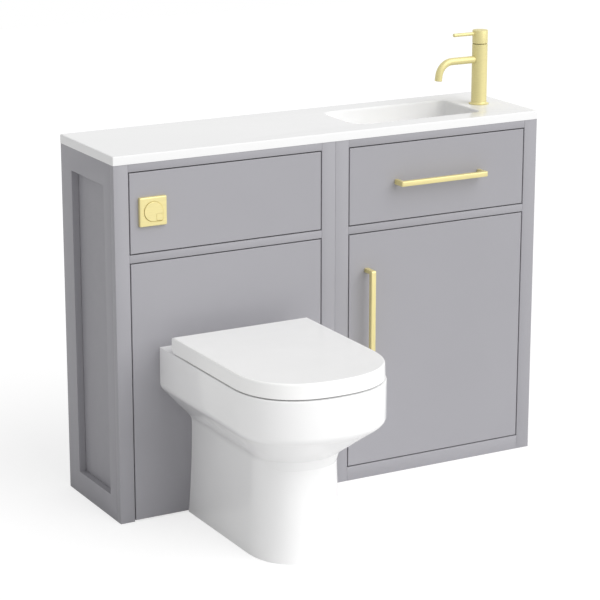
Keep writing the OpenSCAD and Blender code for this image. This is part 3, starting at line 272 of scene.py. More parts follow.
def bend(points, radius, steps):
    """A path along straight runs, with true arcs at its inner points."""
    out = [points[0]]
    for back, point, ahead in zip(points, points[1:], points[2:]):
        into, off = (point - back).normalized(), (ahead - point).normalized()
        turn = into.angle(off)
        trim = radius * math.tan(turn / 2)
        inward = (off - into * into.dot(off)).normalized()
        centre = point - into * trim + inward * radius
        for i in range(steps + 1):
            a = turn * i / steps
            out.append(centre - inward * radius * math.cos(a) + into * radius * math.sin(a))
    return out + [points[-1]]


def block(bm, low, high):
    """A block between two corners."""
    for vert in bmesh.ops.create_cube(bm, size=1)["verts"]:
        vert.co = Vector([lerp(low[i], high[i], vert.co[i] + 0.5) for i in range(3)])


def rod(bm, a, b, radius, steps=32):
    """A round bar from a to b along an axis."""
    axis = "xyz"[max(range(3), key=lambda i: abs(b[i] - a[i]))]
    loft(bm, [circle(a, radius, steps, axis), circle(b, radius, steps, axis)])


def rods(bm, bars, steps=32):
    """Round bars of (one end, other end, radius)."""
    for a, b, radius in bars:
        rod(bm, a, b, radius, steps)


def in_order(bm):
    """A mesh's points, edges and faces, in an order that is the same in each run."""
    verts = sorted(bm.verts, key=lambda v: tuple(round(c, 6) for c in v.co))
    number = {vert: i for i, vert in enumerate(verts)}
    faces = []
    for face in bm.faces:
        ring = [number[v] for v in face.verts]
        first = ring.index(min(ring))
        faces.append(ring[first:] + ring[:first])
    return [tuple(v.co) for v in verts], [], sorted(faces)


def make(bm, name, drawn=True):
    """A mesh object: doubles merged, faces outwards. A drawn mesh also gets its order set."""
    bmesh.ops.remove_doubles(bm, verts=bm.verts, dist=2e-6)
    bmesh.ops.recalc_face_normals(bm, faces=bm.faces)
    mesh = bpy.data.meshes.new(name)
    if drawn:
        mesh.from_pydata(*in_order(bm))
    else:
        bm.to_mesh(mesh)
    bm.free()
    made = bpy.data.objects.new(name, mesh)
    bpy.context.scene.collection.objects.link(made)
    return made


def combine(target, tool, operation):
    """Cuts a closed piece with another, or joins them, and drops the second."""
    cutter = target.modifiers.new("cut", "BOOLEAN")
    cutter.operation = operation
    cutter.object = tool
    cutter.solver = "EXACT"
    graph = bpy.context.evaluated_depsgraph_get()
    mesh = bpy.data.meshes.new_from_object(target.evaluated_get(graph))
    target.modifiers.clear()
    target.data = mesh
    bpy.data.objects.remove(tool)
    if not mesh.polygons:
        raise RuntimeError(f"{target.name} came out empty")


def shaped(name, shape, *args, **settings):
    """A piece from one of the functions that add to a mesh, and what that function takes."""
    bm = bmesh.new()
    shape(bm, *args, **settings)
    return make(bm, name)


def cut(target, shape, *args, **settings):
    """Cuts what a shape function makes out of a closed piece."""
    combine(target, shaped("tool", shape, *args, **settings), "DIFFERENCE")


def join(target, shape, *args, **settings):
    """Joins what a shape function makes to a closed piece."""
    combine(target, shaped("tool", shape, *args, **settings), "UNION")


def finish_piece(made, body, slot, replaces, look=None, crisp=35):
    """Shades a piece, gives it its material, hangs it on the body it rides on and hides the nodes it
    stands for.
    """
    mesh = made.data
    for face in mesh.polygons:
        face.use_smooth = max(abs(c) for c in face.normal) < 0.99995
    mesh.set_sharp_from_angle(angle=math.radians(crisp))
    mesh.materials.clear()
    mesh.materials.append(MATERIALS[look or slot])
    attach(made, body)
    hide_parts(*replaces)


def eased_copy(node, edge):
    """A node's own boards with their sharp edges eased, as a new piece."""
    bm = bmesh.new()
    bm.from_mesh(NODES[node].data)
    bmesh.ops.remove_doubles(bm, verts=bm.verts, dist=1e-6)
    bmesh.ops.dissolve_limit(bm, angle_limit=math.radians(1), verts=bm.verts, edges=bm.edges)
    sharp = [e for e in bm.edges if e.is_manifold and e.calc_face_angle() > math.radians(60)]
    bmesh.ops.bevel(bm, geom=sharp, offset=edge, offset_type="OFFSET", segments=2, profile=0.5,
                    affect="EDGES", material=-1)
    return make(bm, node + "_eased", drawn=False)


# ---------- materials ----------
def add(tree, kind, inputs, **settings):
    """Adds a node: inputs are values or the sockets that feed it, by name or number."""
    made = tree.nodes.new(kind)
    for name, value in settings.items():
        setattr(made, name, value)
    for name, value in inputs.items():
        if isinstance(value, bpy.types.NodeSocket):
            tree.links.new(value, made.inputs[name])
        else:
            made.inputs[name].default_value = value
    return made


def new_material(name, **sockets):
    """A material with its shader's own sockets set; returns it, its tree and its shader."""
    made = bpy.data.materials.new(name)
    made.use_nodes = True
    shader = made.node_tree.nodes["Principled BSDF"]
    for key, value in sockets.items():
        shader.inputs[key.replace("_", " ")].default_value = value
    return made, made.node_tree, shader


def noise(tree, size_mm, detail=2.0, stretch=(1, 1, 1)):
    """Noise with features of a real size, on the piece's own coordinates."""
    place = add(tree, "ShaderNodeTexCoord", {})
    spread = add(tree, "ShaderNodeMapping", {"Vector": place.outputs["Object"], "Scale": stretch})
    return add(tree, "ShaderNodeTexNoise", {"Vector": spread.outputs[0], "Scale": 1 / (size_mm * MM),
                                            "Detail": detail, "Roughness": 0.5}).outputs["Fac"]


def spread_of(tree, value, low, high):
    """Maps the middle half of a 0 to 1 pattern, where noise lies, to a range."""
    return add(tree, "ShaderNodeMapRange", {"Value": value, "From Min": 0.25, "From Max": 0.75,
                                            "To Min": low, "To Max": high}).outputs["Result"]


def tinted(tree, value, shade, low, high):
    """A colour that a pattern makes a little darker or lighter."""
    tone = spread_of(tree, value, low, high)
    return add(tree, "ShaderNodeMix", {0: 1.0, 6: (*shade, 1), 7: tone}, data_type="RGBA",
               blend_type="MULTIPLY").outputs[2]


def relief(tree, shader, value, height_mm, strength):
    """A bump of a real height."""
    bump = add(tree, "ShaderNodeBump", {"Height": value, "Strength": strength,
                                        "Distance": height_mm * MM})
    tree.links.new(bump.outputs["Normal"], shader.inputs["Normal"])


def surface(name, shade, tint, sheen, bump=None, detail=2.0, **sockets):
    """A material with noise in its tint and its roughness, each given as feature size in mm, low and
    high, and in its relief, given as feature size, detail, height in mm and strength."""
    made, tree, shader = new_material(name, **sockets)
    tree.links.new(tinted(tree, noise(tree, tint[0], detail), shade, *tint[1:]),
                   shader.inputs["Base Color"])
    tree.links.new(spread_of(tree, noise(tree, sheen[0], detail), *sheen[1:]),
                   shader.inputs["Roughness"])
    if bump:
        relief(tree, shader, noise(tree, *bump[:2]), *bump[2:])
    return made


def lacquered_fibreboard(shade):
    """Fibreboard sprayed with a matt lacquer: even colour, soft sheen, a trace of orange peel."""
    return surface("lacquered_fibreboard", shade, (260, 0.985, 1.015), (45, 0.46, 0.54),
                   (2.6, 2, 0.02, 0.6), IOR=1.5)


def faced_board(name, shade):
    """Chipboard faced with melamine: a pressed, finely pebbled surface."""
    return surface(name, shade, (3, 0.97, 1.02), (30, 0.5, 0.6), (1.4, 3, 0.05, 0.6), IOR=1.5)


def cast_mineral(shade):
    """Stone dust in resin under a gelcoat: white, gently glossy, very slightly uneven."""
    return surface("cast_mineral_gelcoat", shade, (200, 0.995, 1.005), (90, 0.12, 0.15), detail=1,
                   IOR=1.5, Specular_IOR_Level=0.15)


def vitreous_china(shade):
    """Fired clay under a clear glaze: hard gloss over a softly uneven white body."""
    return surface("vitreous_china", shade, (90, 0.99, 1.01), (40, 0.12, 0.18), (24, 2, 0.05, 0.5),
                   IOR=1.52, Coat_Weight=0.4, Coat_Roughness=0.05, Coat_IOR=1.5)


def moulded_seat(shade):
    """Urea resin pressed in a polished mould: even white gloss."""
    return surface("moulded_urea", shade, (80, 0.992, 1.008), (50, 0.16, 0.22), (35, 2, 0.02, 0.5),
                   IOR=1.54)


def brushed_brass(name, shade, stretch, metallic=0.45):
    """Plated brass brushed one way. Its fine lines are drawn 1 mm apart, coarser than real, to show."""
    made, tree, shader = new_material(name, Metallic=metallic)
    lines = noise(tree, 1.0, 3, stretch)
    tree.links.new(tinted(tree, lines, shade, 0.94, 1.05), shader.inputs["Base Color"])
    tree.links.new(spread_of(tree, lines, 0.4, 0.5), shader.inputs["Roughness"])
    relief(tree, shader, lines, 0.01, 0.5)
    return made


def plated_steel(shade):
    """Rolled and pressed steel with bright zinc or nickel: a blurred metal shine."""
    return surface("plated_steel", shade, (12, 0.92, 1.04), (6, 0.26, 0.38), (2, 2, 0.01, 0.4),
                   Metallic=1.0)


def moulded_plastic(name, shade, grain_mm, low, high):
    """Injection moulded plastic with a faint spark-eroded grain."""
    return surface(name, shade, (40, 0.97, 1.01), (10, low, high), (grain_mm, 2, 0.04, 0.5), IOR=1.49)


MATERIALS = {}          # by slot, with a second brass for upright bars


class BATHUNIT_OT_finishes(bpy.types.Operator):
    """Makes the finishes and gives every CAD node its own"""
    bl_idname = "bathunit.finishes"
    bl_label = "Finishes"

    def execute(self, context):
        tones = context.scene.bath_finishes
        MATERIALS.update({
            "front": lacquered_fibreboard(tones.front),
            "carcass": faced_board("melamine_board", tones.carcass),
            "drawer": faced_board("white_melamine_board", tones.drawer),
            "worktop": cast_mineral(tones.worktop),
            "ware": vitreous_china(tones.ware),
            "seat_plastic": moulded_seat(tones.seat),
            "brass": brushed_brass("brass_brushed_along", tones.brass, (0.04, 1, 1)),
            "brass_upright": brushed_brass("brass_brushed_upright", tones.brass, (1, 1, 0.04)),
            "tap_metal": brushed_brass("brass_turned", tones.tap, (0.1, 0.1, 1), 0.3),
            "steel": plated_steel(tones.steel),
            "pipe": moulded_plastic("polypropylene", tones.pipe, 1.5, 0.3, 0.42),
            "cistern": moulded_plastic("moulded_abs", tones.cistern, 2.5, 0.4, 0.5),
            "rubber": moulded_plastic("nitrile_rubber", tones.rubber, 1.2, 0.6, 0.75),
        })
        for part in frame["record"]["subparts"]:
            mesh = NODES[part["node"]].data
            mesh.materials.clear()
            mesh.materials.append(MATERIALS[part["material_slot"]])
        return {"FINISHED"}


# ---------- cabinets ----------
class BATHUNIT_OT_cabinet_frames(bpy.types.Operator):
    """Eases the edges of the painted stiles, rails and end frames"""
    bl_idname = "bathunit.cabinet_frames"
    bl_label = "Cabinet frames"

    def execute(self, context):
        edge = context.scene.bath_sizes.board_edge
        for node in ("wc_stiles", "wc_rails", "basin_stiles", "basin_rails", "wc_end_frame",
                     "basin_end_frame"):
            finish_piece(eased_copy(node, edge), "unit", "front", [node])
        return {"FINISHED"}


# ---------- worktop ----------
BASIN_LEN = 340
BASIN_W = 173
BASIN_DEPTH = 90
BASIN_X1 = 428          # right end of the basin, from the seam of the cabinets
BASIN_FRONT = 55        # width of the worktop before the basin
BASIN_WALL = 8
BASIN_SLOPE = 115       # how far the left end runs in on its way down
BASIN_RUN = 24          # the same for the other sides
BASIN_R_LEFT = 35
BASIN_R_RIGHT = 20
BASIN_START = 3.2       # degrees: where the bowl takes over from the lip
WASTE_HOLE_R = 22.5
TAP_HOLE_R = 17.5
SLAB_CORNER = 2


def bowl_curve(u, straight):
    """0 to 1: part straight slope, part quarter ellipse."""
    return straight * u + (1 - straight) * (1 - math.sqrt(max(0, 1 - u * u)))


def arc(cx, cy, radius, start, steps=8):
    """Points of a quarter circle from a start in degrees."""
    turns = [math.radians(start + 90 * i / steps) for i in range(steps + 1)]
    return [(cx + radius * math.cos(t), cy + radius * math.sin(t)) for t in turns]


def basin_outline(u, grow, z):
    """The basin's outline at a share of its depth, grown outwards."""
    steep = BASIN_RUN * bowl_curve(u, 0.3)
    x0 = BASIN_X1 - BASIN_LEN + BASIN_SLOPE * bowl_curve(u, 0.6) - grow
    x1 = BASIN_X1 - steep + grow
    y0 = BASIN_FRONT + steep - grow
    y1 = BASIN_FRONT + BASIN_W - steep + grow
    left, right = BASIN_R_LEFT + grow, BASIN_R_RIGHT + grow
    corners = (arc(x1 - right, y1 - right, right, 0) + arc(x0 + left, y1 - left, left, 90)
               + arc(x0 + left, y0 + left, left, 180) + arc(x1 - right, y0 + right, right, 270))
    return [at(x, y, z) for x, y in corners]


def slab_outline(inset, z):
    """The worktop's outline; its back edge stays square to the wall."""
    x0, x1, y0, y1 = TOP_LOW.x + inset, TOP_HIGH.x - inset, TOP_LOW.y + inset, TOP_HIGH.y
    return soften([Vector((x, y, z)) for x, y in ((x0, y0), (x1, y0), (x1, y1), (x0, y1))],
                  SLAB_CORNER * MM)


class BATHUNIT_OT_worktop(bpy.types.Operator):
    """Casts the worktop with its basin in one piece"""
    bl_idname = "bathunit.worktop"
    bl_label = "Worktop and basin"

    def execute(self, context):
        sizes = context.scene.bath_sizes
        top, under = TOP_HIGH.z, TOP_LOW.z
        lip = sizes.basin_lip / MM
        top_mm, under_mm = top / MM, under / MM
        slab = [slab_outline(0, under)] + [slab_outline(inset, top - rise) for inset, rise in
                                           quarter_round(sizes.worktop_edge, 6)]
        rings = [basin_outline(u, 0, top_mm - BASIN_DEPTH * u) for u in sines(BASIN_START, 90, 20)]
        bowl = between(basin_outline(0, lip, top_mm), basin_outline(0, 0, top_mm), rings[0], 6)
        floor_mm = top_mm - BASIN_DEPTH
        start = math.degrees(math.asin((top_mm - BASIN_WALL - under_mm) / BASIN_DEPTH))
        shell = [basin_outline(u, BASIN_WALL, top_mm - BASIN_WALL - BASIN_DEPTH * u)
                 for u in sines(90, start, 12)]
        bm = bmesh.new()
        slab_bottom, slab_top = loft(bm, slab, "open")
        lip_edges, bowl_bottom = loft(bm, bowl + rings[1:], "open")
        shell_bottom, shell_top = loft(bm, shell, "open")
        tap_top, tap_bottom = loft(bm, [circle(Vector((TAP.x, TAP.y, z)), TAP_HOLE_R * MM)
                                        for z in (top, under)], "open")
        waste_top, waste_bottom = loft(bm, [circle(Vector((WASTE.x, WASTE.y, z * MM)), WASTE_HOLE_R * MM)
                                            for z in (floor_mm, floor_mm - BASIN_WALL)], "open")
        fill(bm, slab_top, lip_edges, tap_top)
        fill(bm, bowl_bottom, waste_top)
        fill(bm, shell_bottom, waste_bottom)
        fill(bm, slab_bottom, shell_top, tap_bottom)
        finish_piece(make(bm, "worktop_with_basin"), "unit", "worktop", ["basin_worktop"])
        return {"FINISHED"}


PLUG_RISE = 5.0         # height of the plug's rounded top
PLUG_STEM_R = 4


class BATHUNIT_OT_plug(bpy.types.Operator):
    """Turns the domed waste plug with its stem"""
    bl_idname = "bathunit.plug"
    bl_label = "Waste plug"

    def execute(self, context):
        low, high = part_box("waste_plug")
        radius = (high.x - low.x) / 2 / MM
        base, foot = high.z / MM - PLUG_RISE - WASTE.z / MM, low.z / MM - WASTE.z / MM
        dome = [(radius * math.cos(t), base + 2 + (PLUG_RISE - 2) * math.sin(t)) for t in quarter(15)]
        profile = [(0, foot), (PLUG_STEM_R, foot), (PLUG_STEM_R, base), (radius - 1, base),
                   (radius, base + 1)] + dome
        finish_piece(shaped("domed_plug", revolve, profile, WASTE), "waste_plug", "tap_metal",
                     ["waste_plug"])
        return {"FINISHED"}


# ---------- tap ----------
TAP_R = 18.5
TAP_BODY_H = 145
TAP_CAP_Z = 146.5       # underside of the cap
TAP_TOP = 178
TAP_BORE_R = 15.5
TAP_BORE_DEPTH = 40
TAP_FLANGE_R = 24
FLANGE_T = 1.5
COVE_H = 4.5
SPOUT_R = 8.7
SPOUT_BORE_R = 6
SPOUT_H = 108
SPOUT_REACH = 116
SPOUT_BEND = 36
SPOUT_TURN = 83         # degrees
SPOUT_MOUTH = 64
MOUTH_DEPTH = 6.2
SOCKETS = ((-4.5, -7.5, 4.5), (-4.5, 7.5, 4.5), (10, 0, 4))     # x, y and radius: inlets and stud
SOCKET_DEPTH = 18
PIVOT_X = 13
PIVOT_Z = 150.5
PIVOT_BORE_R = 2.05
CAP_ROOF = TAP_TOP - 13
CAP_EDGE = 0.8
CAP_EAR_Y = 6.5
CAP_EAR_R = 3.8
CAP_EAR_HALF = 1.7      # half the thickness of an ear
LEVER_R = 4.2
LEVER_Z = 170
LEVER_REACH = 75
ROOT = -TAP_BORE_R - 0.5    # inner end of the spout and the lever, inside the wall


def on_tap(x, z, y=0):
    """A point in millimetres from the middle of the tap's foot."""
    return TAP + Vector((x, y, z)) * MM


class BATHUNIT_OT_tap(bpy.types.Operator):
    """Turns the tap's body and cap, and bends its spout"""
    bl_idname = "bathunit.tap"
    bl_label = "Tap"

    def execute(self, context):
        edge = context.scene.bath_sizes.metal_edge / MM
        spread = TAP_FLANGE_R - TAP_R
        bore_floor = TAP_BODY_H - TAP_BORE_DEPTH
        cove = [(TAP_R + spread * (1 - math.sin(t)), FLANGE_T + COVE_H * (1 - math.cos(t)))
                for t in quarter(9)]
        profile = ([(0, 0), (TAP_FLANGE_R - edge, 0), (TAP_FLANGE_R, edge)] + cove
                   + [(TAP_R, TAP_BODY_H - edge), (TAP_R - edge, TAP_BODY_H), (TAP_BORE_R, TAP_BODY_H),
                      (TAP_BORE_R, bore_floor), (0, bore_floor)])
        body = shaped("tap_body_with_spout", revolve, profile, TAP)
        turn = math.radians(SPOUT_TURN)
        mouth = on_tap(-SPOUT_REACH, SPOUT_MOUTH)
        corner = on_tap((SPOUT_H - SPOUT_MOUTH) / math.tan(turn) - SPOUT_REACH, SPOUT_H)
        out = (mouth - corner).normalized()
        path = bend([on_tap(ROOT, SPOUT_H), corner, mouth], SPOUT_BEND * MM, 18)
        across = Vector((0, 1, 0))
        join(body, tube, path[:-1] + [mouth - out * edge * MM], SPOUT_R * MM, across,
             tip=(mouth, (SPOUT_R - edge) * MM))
        cut(body, tube, [mouth + out * 2 * MM, mouth - out * MOUTH_DEPTH * MM], SPOUT_BORE_R * MM,
            across)
        cut(body, rods, [(on_tap(x, -1, y), on_tap(x, SOCKET_DEPTH, y), radius * MM)
                         for x, y, radius in SOCKETS], 24)
        finish_piece(body, "unit", "tap_metal", ["tap_body"])

        profile = [(0, CAP_ROOF), (TAP_BORE_R, CAP_ROOF), (TAP_BORE_R, TAP_CAP_Z),
                   (TAP_R - 1, TAP_CAP_Z), (TAP_R, TAP_CAP_Z + 1), (TAP_R, TAP_TOP - CAP_EDGE),
                   (TAP_R - 0.25, TAP_TOP - 0.25), (TAP_R - CAP_EDGE, TAP_TOP), (0, TAP_TOP)]
        lever = shaped("tap_lever_with_cap", revolve, profile, TAP)
        join(lever, loft, [circle(on_tap(x, LEVER_Z), radius * MM, 32, "x") for x, radius in
                           ((ROOT, LEVER_R), (edge - LEVER_REACH, LEVER_R),
                            (-LEVER_REACH, LEVER_R - edge))])
        for y in (-CAP_EAR_Y, CAP_EAR_Y):
            near, far = y - CAP_EAR_HALF, y + CAP_EAR_HALF
            join(lever, rod, on_tap(PIVOT_X, PIVOT_Z, near), on_tap(PIVOT_X, PIVOT_Z, far),
                 CAP_EAR_R * MM, 24)
            join(lever, block, on_tap(PIVOT_X - 2, PIVOT_Z, near),
                 on_tap(PIVOT_X + 2, CAP_ROOF + 1, far))
        cut(lever, rod, on_tap(PIVOT_X, PIVOT_Z, -9), on_tap(PIVOT_X, PIVOT_Z, 9), PIVOT_BORE_R * MM, 24)
        finish_piece(lever, "tap_lever", "tap_metal", ["tap_lever"])
        return {"FINISHED"}


# ---------- handles ----------
BAR = 12
BAR_LEG = 9.5
BAR_REACH = 4.0         # how much further than its solid the bar stands out
BAR_BEND = 4.5          # outer radius of the mitred corners


def handle_outline(span, reach, inset):
    """A bar with two legs, drawn in the plane of the legs, in millimetres along and out."""
    end, front = span / 2 - inset, reach - inset
    inner, under = span / 2 - BAR_LEG + inset, reach - BAR + inset
    points = [(-end, 0), (-end, front), (end, front), (end, 0),
              (inner, 0), (inner, under), (-inner, under), (-inner, 0)]
    radii = [0.3, BAR_BEND - inset, BAR_BEND - inset, 0.3, 0.3, 1 + inset, 1 + inset, 0.3]
    return soften([Vector(p) for p in points], radii)


class BATHUNIT_OT_handles(bpy.types.Operator):
    """Mitres the square bar handles"""
    bl_idname = "bathunit.handles"
    bl_label = "Handles"

    def execute(self, context):
        edge = context.scene.bath_sizes.bar_edge / MM
        near = [(inset - BAR / 2, rise) for inset, rise in quarter_round(edge, 3)]
        for node, body, look, along in (("drawer_handle", "drawer", "brass", 0),
                                        ("door_handle", "door", "brass_upright", 2)):
            low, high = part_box(node)
            across = 2 - along
            middle = (low + high) / 2
            span = (high[along] - low[along]) / MM
            reach = (high.y - low.y) / MM + BAR_REACH
            sections = []
            for aside, inset in near + [(-a, i) for a, i in reversed(near)]:
                section = []
                for p in handle_outline(span, reach, inset):
                    point = Vector((0, high.y - p.y * MM, 0))
                    point[along] = middle[along] + p.x * MM
                    point[across] = middle[across] + aside * MM
                    section.append(point)
                sections.append(section)
            made = shaped(node.replace("handle", "bar_handle"), loft, sections)
            finish_piece(made, body, "brass", [node], look, crisp=50)
        return {"FINISHED"}


# ---------- flush plate ----------
BUTTON_R = 22
BUTTON_CORNER = 3
HALF_SIDE = 15.3
HALF_X = 6.5
HALF_Z = 5.7
BUTTON_T = 4.8
BUTTON_GAP = 0.35
NOTCH_GAP = 0.5
GROOVE = 0.8            # broken edge on both sides of the joint round the buttons
PLATE_EDGE = 2.5
STEM_R = 4


def button_outline(grow):
    """A circle squared off at its lower right, seen from the front, in millimetres."""
    radius = BUTTON_R + grow
    turns = [math.radians(-90 - 3.75 * i) for i in range(73)]
    ring = [Vector((radius * math.cos(t), radius * math.sin(t))) for t in turns]
    corner = soften([Vector((0, -radius)), Vector((radius, 0)), Vector((radius, -radius))],
                    BUTTON_CORNER, 5)[12:]
    return ring + corner


def half_outline(grow):
    """The half flush button's soft square, in the corner of the full one."""
    side = HALF_SIDE / 2 + grow
    centre = Vector((HALF_X + HALF_SIDE / 2, -HALF_Z - HALF_SIDE / 2))
    return soften([centre + Vector((a * side, b * side)) for a, b in SQUARE], 2, 5)


def on_plate(points, y):
    """Puts a flat outline on the flush plate, at a place across its thickness."""
    return [Vector((PLATE_MIDDLE.x + p.x * MM, y, PLATE_MIDDLE.z + p.y * MM)) for p in points]


class BATHUNIT_OT_flush_plate(bpy.types.Operator):
    """Presses the flush plate and its two buttons"""
    bl_idname = "bathunit.flush_plate"
    bl_label = "Flush plate"

    def execute(self, context):
        side = (PLATE_HIGH.x - PLATE_LOW.x) / 2 / MM
        back, front = PLATE_HIGH.y, PLATE_LOW.y
        square = [Vector((a * side, b * side)) for a, b in SQUARE]

        def plate_outline(inset):
            return soften([p * (1 - inset / side) for p in square], PLATE_EDGE, 5)

        sections = [on_plate(plate_outline(0), back)] + [
            on_plate(plate_outline(inset), front + rise * MM)
            for inset, rise in quarter_round(PLATE_EDGE, 6)]
        plate = shaped("flush_plate_frame", loft, sections)
        cut(plate, loft, [on_plate(button_outline(BUTTON_GAP + grow), y) for grow, y in
                          ((2 * GROOVE, front - GROOVE * MM), (0, front + GROOVE * MM),
                           (0, back + GROOVE * MM))])
        finish_piece(plate, "unit", "brass", ["flush_plate"])

        for node, outline, stem_x, stem_z in (("full_flush_button", button_outline, -8, 5),
                                              ("half_flush_button", half_outline, 12, -12)):
            low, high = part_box(node)
            head = low.y + BUTTON_T * MM
            sections = [on_plate(outline(0), head), on_plate(outline(0), low.y + GROOVE * MM),
                        on_plate(outline(-GROOVE), low.y)]
            button = shaped(node + "_pressed", loft, sections)
            if node == "full_flush_button":
                cut(button, loft, [on_plate(half_outline(NOTCH_GAP), y)
                                   for y in (low.y - 2 * MM, head + 2 * MM)])
            place = Vector((PLATE_MIDDLE.x + stem_x * MM, 0, PLATE_MIDDLE.z + stem_z * MM))
            join(button, rod, place + Vector((0, head - 1 * MM, 0)), place + Vector((0, high.y, 0)),
                 STEM_R * MM)
            finish_piece(button, node, "brass", [node])
        return {"FINISHED"}


# ---------- toilet ----------
BAND = 82               # height of the upright band under the rim
WAIST = 225             # height of the waist, where the foot turns into the flare
WAIST_HALF = 95
WAIST_STRAIGHT = 280    # length of its straight sides
FOOT_HALF = 106
FOOT_REACH = 405
FOOT_TAPER = 10         # how much less far the waist reaches out than the foot
PAN_HALF = (PAN_HIGH.x - PAN_LOW.x) / 2 / MM
PAN_REACH = (FRONT - PAN_LOW.y) / MM
PAN_STRAIGHT = 345
SQUARENESS = 2.35       # 2 is an ellipse, more is squarer
FLARE_STRAIGHT = 0.8    # share of the flare that is straight
BOWL_HALF = 118
BOWL_REAR = -178
BOWL_CENTRE = -330
BOWL_NOSE = -454
BOWL_LIP = 5            # width of the soft edge round the bowl
SUMP_Z = 58
SUMP_HALF = 42
SUMP_REAR = -214
SUMP_CENTRE = -256
SUMP_NOSE = -302
ROOM_FRONT = -108       # the rooms at the pan's open back
ROOM_FLOOR = RIM - BAND + 6
ROOM_CEILING = RIM - 18
ROOM_HALF = PAN_HALF - 20
FOOT_ROOM_HALF = 76
TRAP_R = 26
TRAP_BEND = 34
SOIL_Z = 185
INLET_Z = (ROOM_CEILING + ROOM_FLOOR) / 2
FLUSH_WAY_R = 15
BOLT_HOLE_R = 8
SPIGOTS = ((51, 43, -26, SOIL_Z), (28, 24, -50, INLET_Z))   # outer and inner radius, end, height
HINGE_Y = -72
HINGE_Z = RIM + 17
HINGE_SPAN = 155
FRONT_STEPS = 72
BACK_STEPS = 16
SIDE_STEPS = 12


def signed_pow(value, power):
    return math.copysign(abs(value) ** power, value)


def nose(half, shoulder, front):
    """The rounded front of an outline, from left to right."""
    turns = [math.radians(180 + 180 * i / FRONT_STEPS) for i in range(FRONT_STEPS + 1)]
    return [(half * signed_pow(math.cos(t), 2 / SQUARENESS),
             shoulder + (shoulder - front) * signed_pow(math.sin(t), 2 / SQUARENESS)) for t in turns]


def d_section(half, back, shoulder, front, z):
    """Straight back and sides, rounded front."""
    across = [1 - 2 * i / BACK_STEPS for i in range(BACK_STEPS + 1)]
    along = [i / SIDE_STEPS for i in range(1, SIDE_STEPS)]
    outline = (nose(half, shoulder, front) + [(half, lerp(shoulder, back, t)) for t in along]
               + [(half * t, back) for t in across] + [(-half, lerp(back, shoulder, t)) for t in along])
    return [at_pan(x, y, z) for x, y in outline]


def egg_section(half, rear, centre, front, z):
    """The same front with a rounded back."""
    steps = BACK_STEPS + 2 * SIDE_STEPS - 2
    turns = [math.radians(lerp(10, 170, i / steps)) for i in range(steps + 1)]
    back = [(half * math.cos(t), centre + (rear - centre) * math.sin(t)) for t in turns]
    return [at_pan(x, y, z) for x, y in nose(half, centre, front) + back]


def flare(t, soft, straight):
    """0 to 1 for t up to 1: level until -soft, straight from soft on, then rounding off until level."""
    slope = 2 / (1 + straight)
    if t < soft:
        x = max(0.0, (t + soft) / (2 * soft))
        return slope * 2 * soft * (x ** 3 - x ** 4 / 2)
    return slope * t if t < straight else 1 - slope / (2 - 2 * straight) * (1 - t) ** 2


def pan_section(z, crease):
    """The pan's outside at a height; crease is half the height of the bend at the waist."""
    height = RIM - BAND - WAIST
    s = flare((z - WAIST) / height, crease / height, FLARE_STRAIGHT)
    foot = max(0.0, 1 - z / WAIST) ** 2
    return d_section(lerp(WAIST_HALF + (FOOT_HALF - WAIST_HALF) * foot, PAN_HALF, s), 0,
                     -lerp(WAIST_STRAIGHT, PAN_STRAIGHT, s),
                     -lerp(FOOT_REACH - FOOT_TAPER * (1 - foot), PAN_REACH, s), z)


def bowl_section(u):
    """The bowl at a share of its depth."""
    c = bowl_curve(u, 0.55)
    return egg_section(lerp(BOWL_HALF, SUMP_HALF, c), lerp(BOWL_REAR, SUMP_REAR, c),
                       lerp(BOWL_CENTRE, SUMP_CENTRE, c), lerp(BOWL_NOSE, SUMP_NOSE, c),
                       lerp(RIM, SUMP_Z, u))


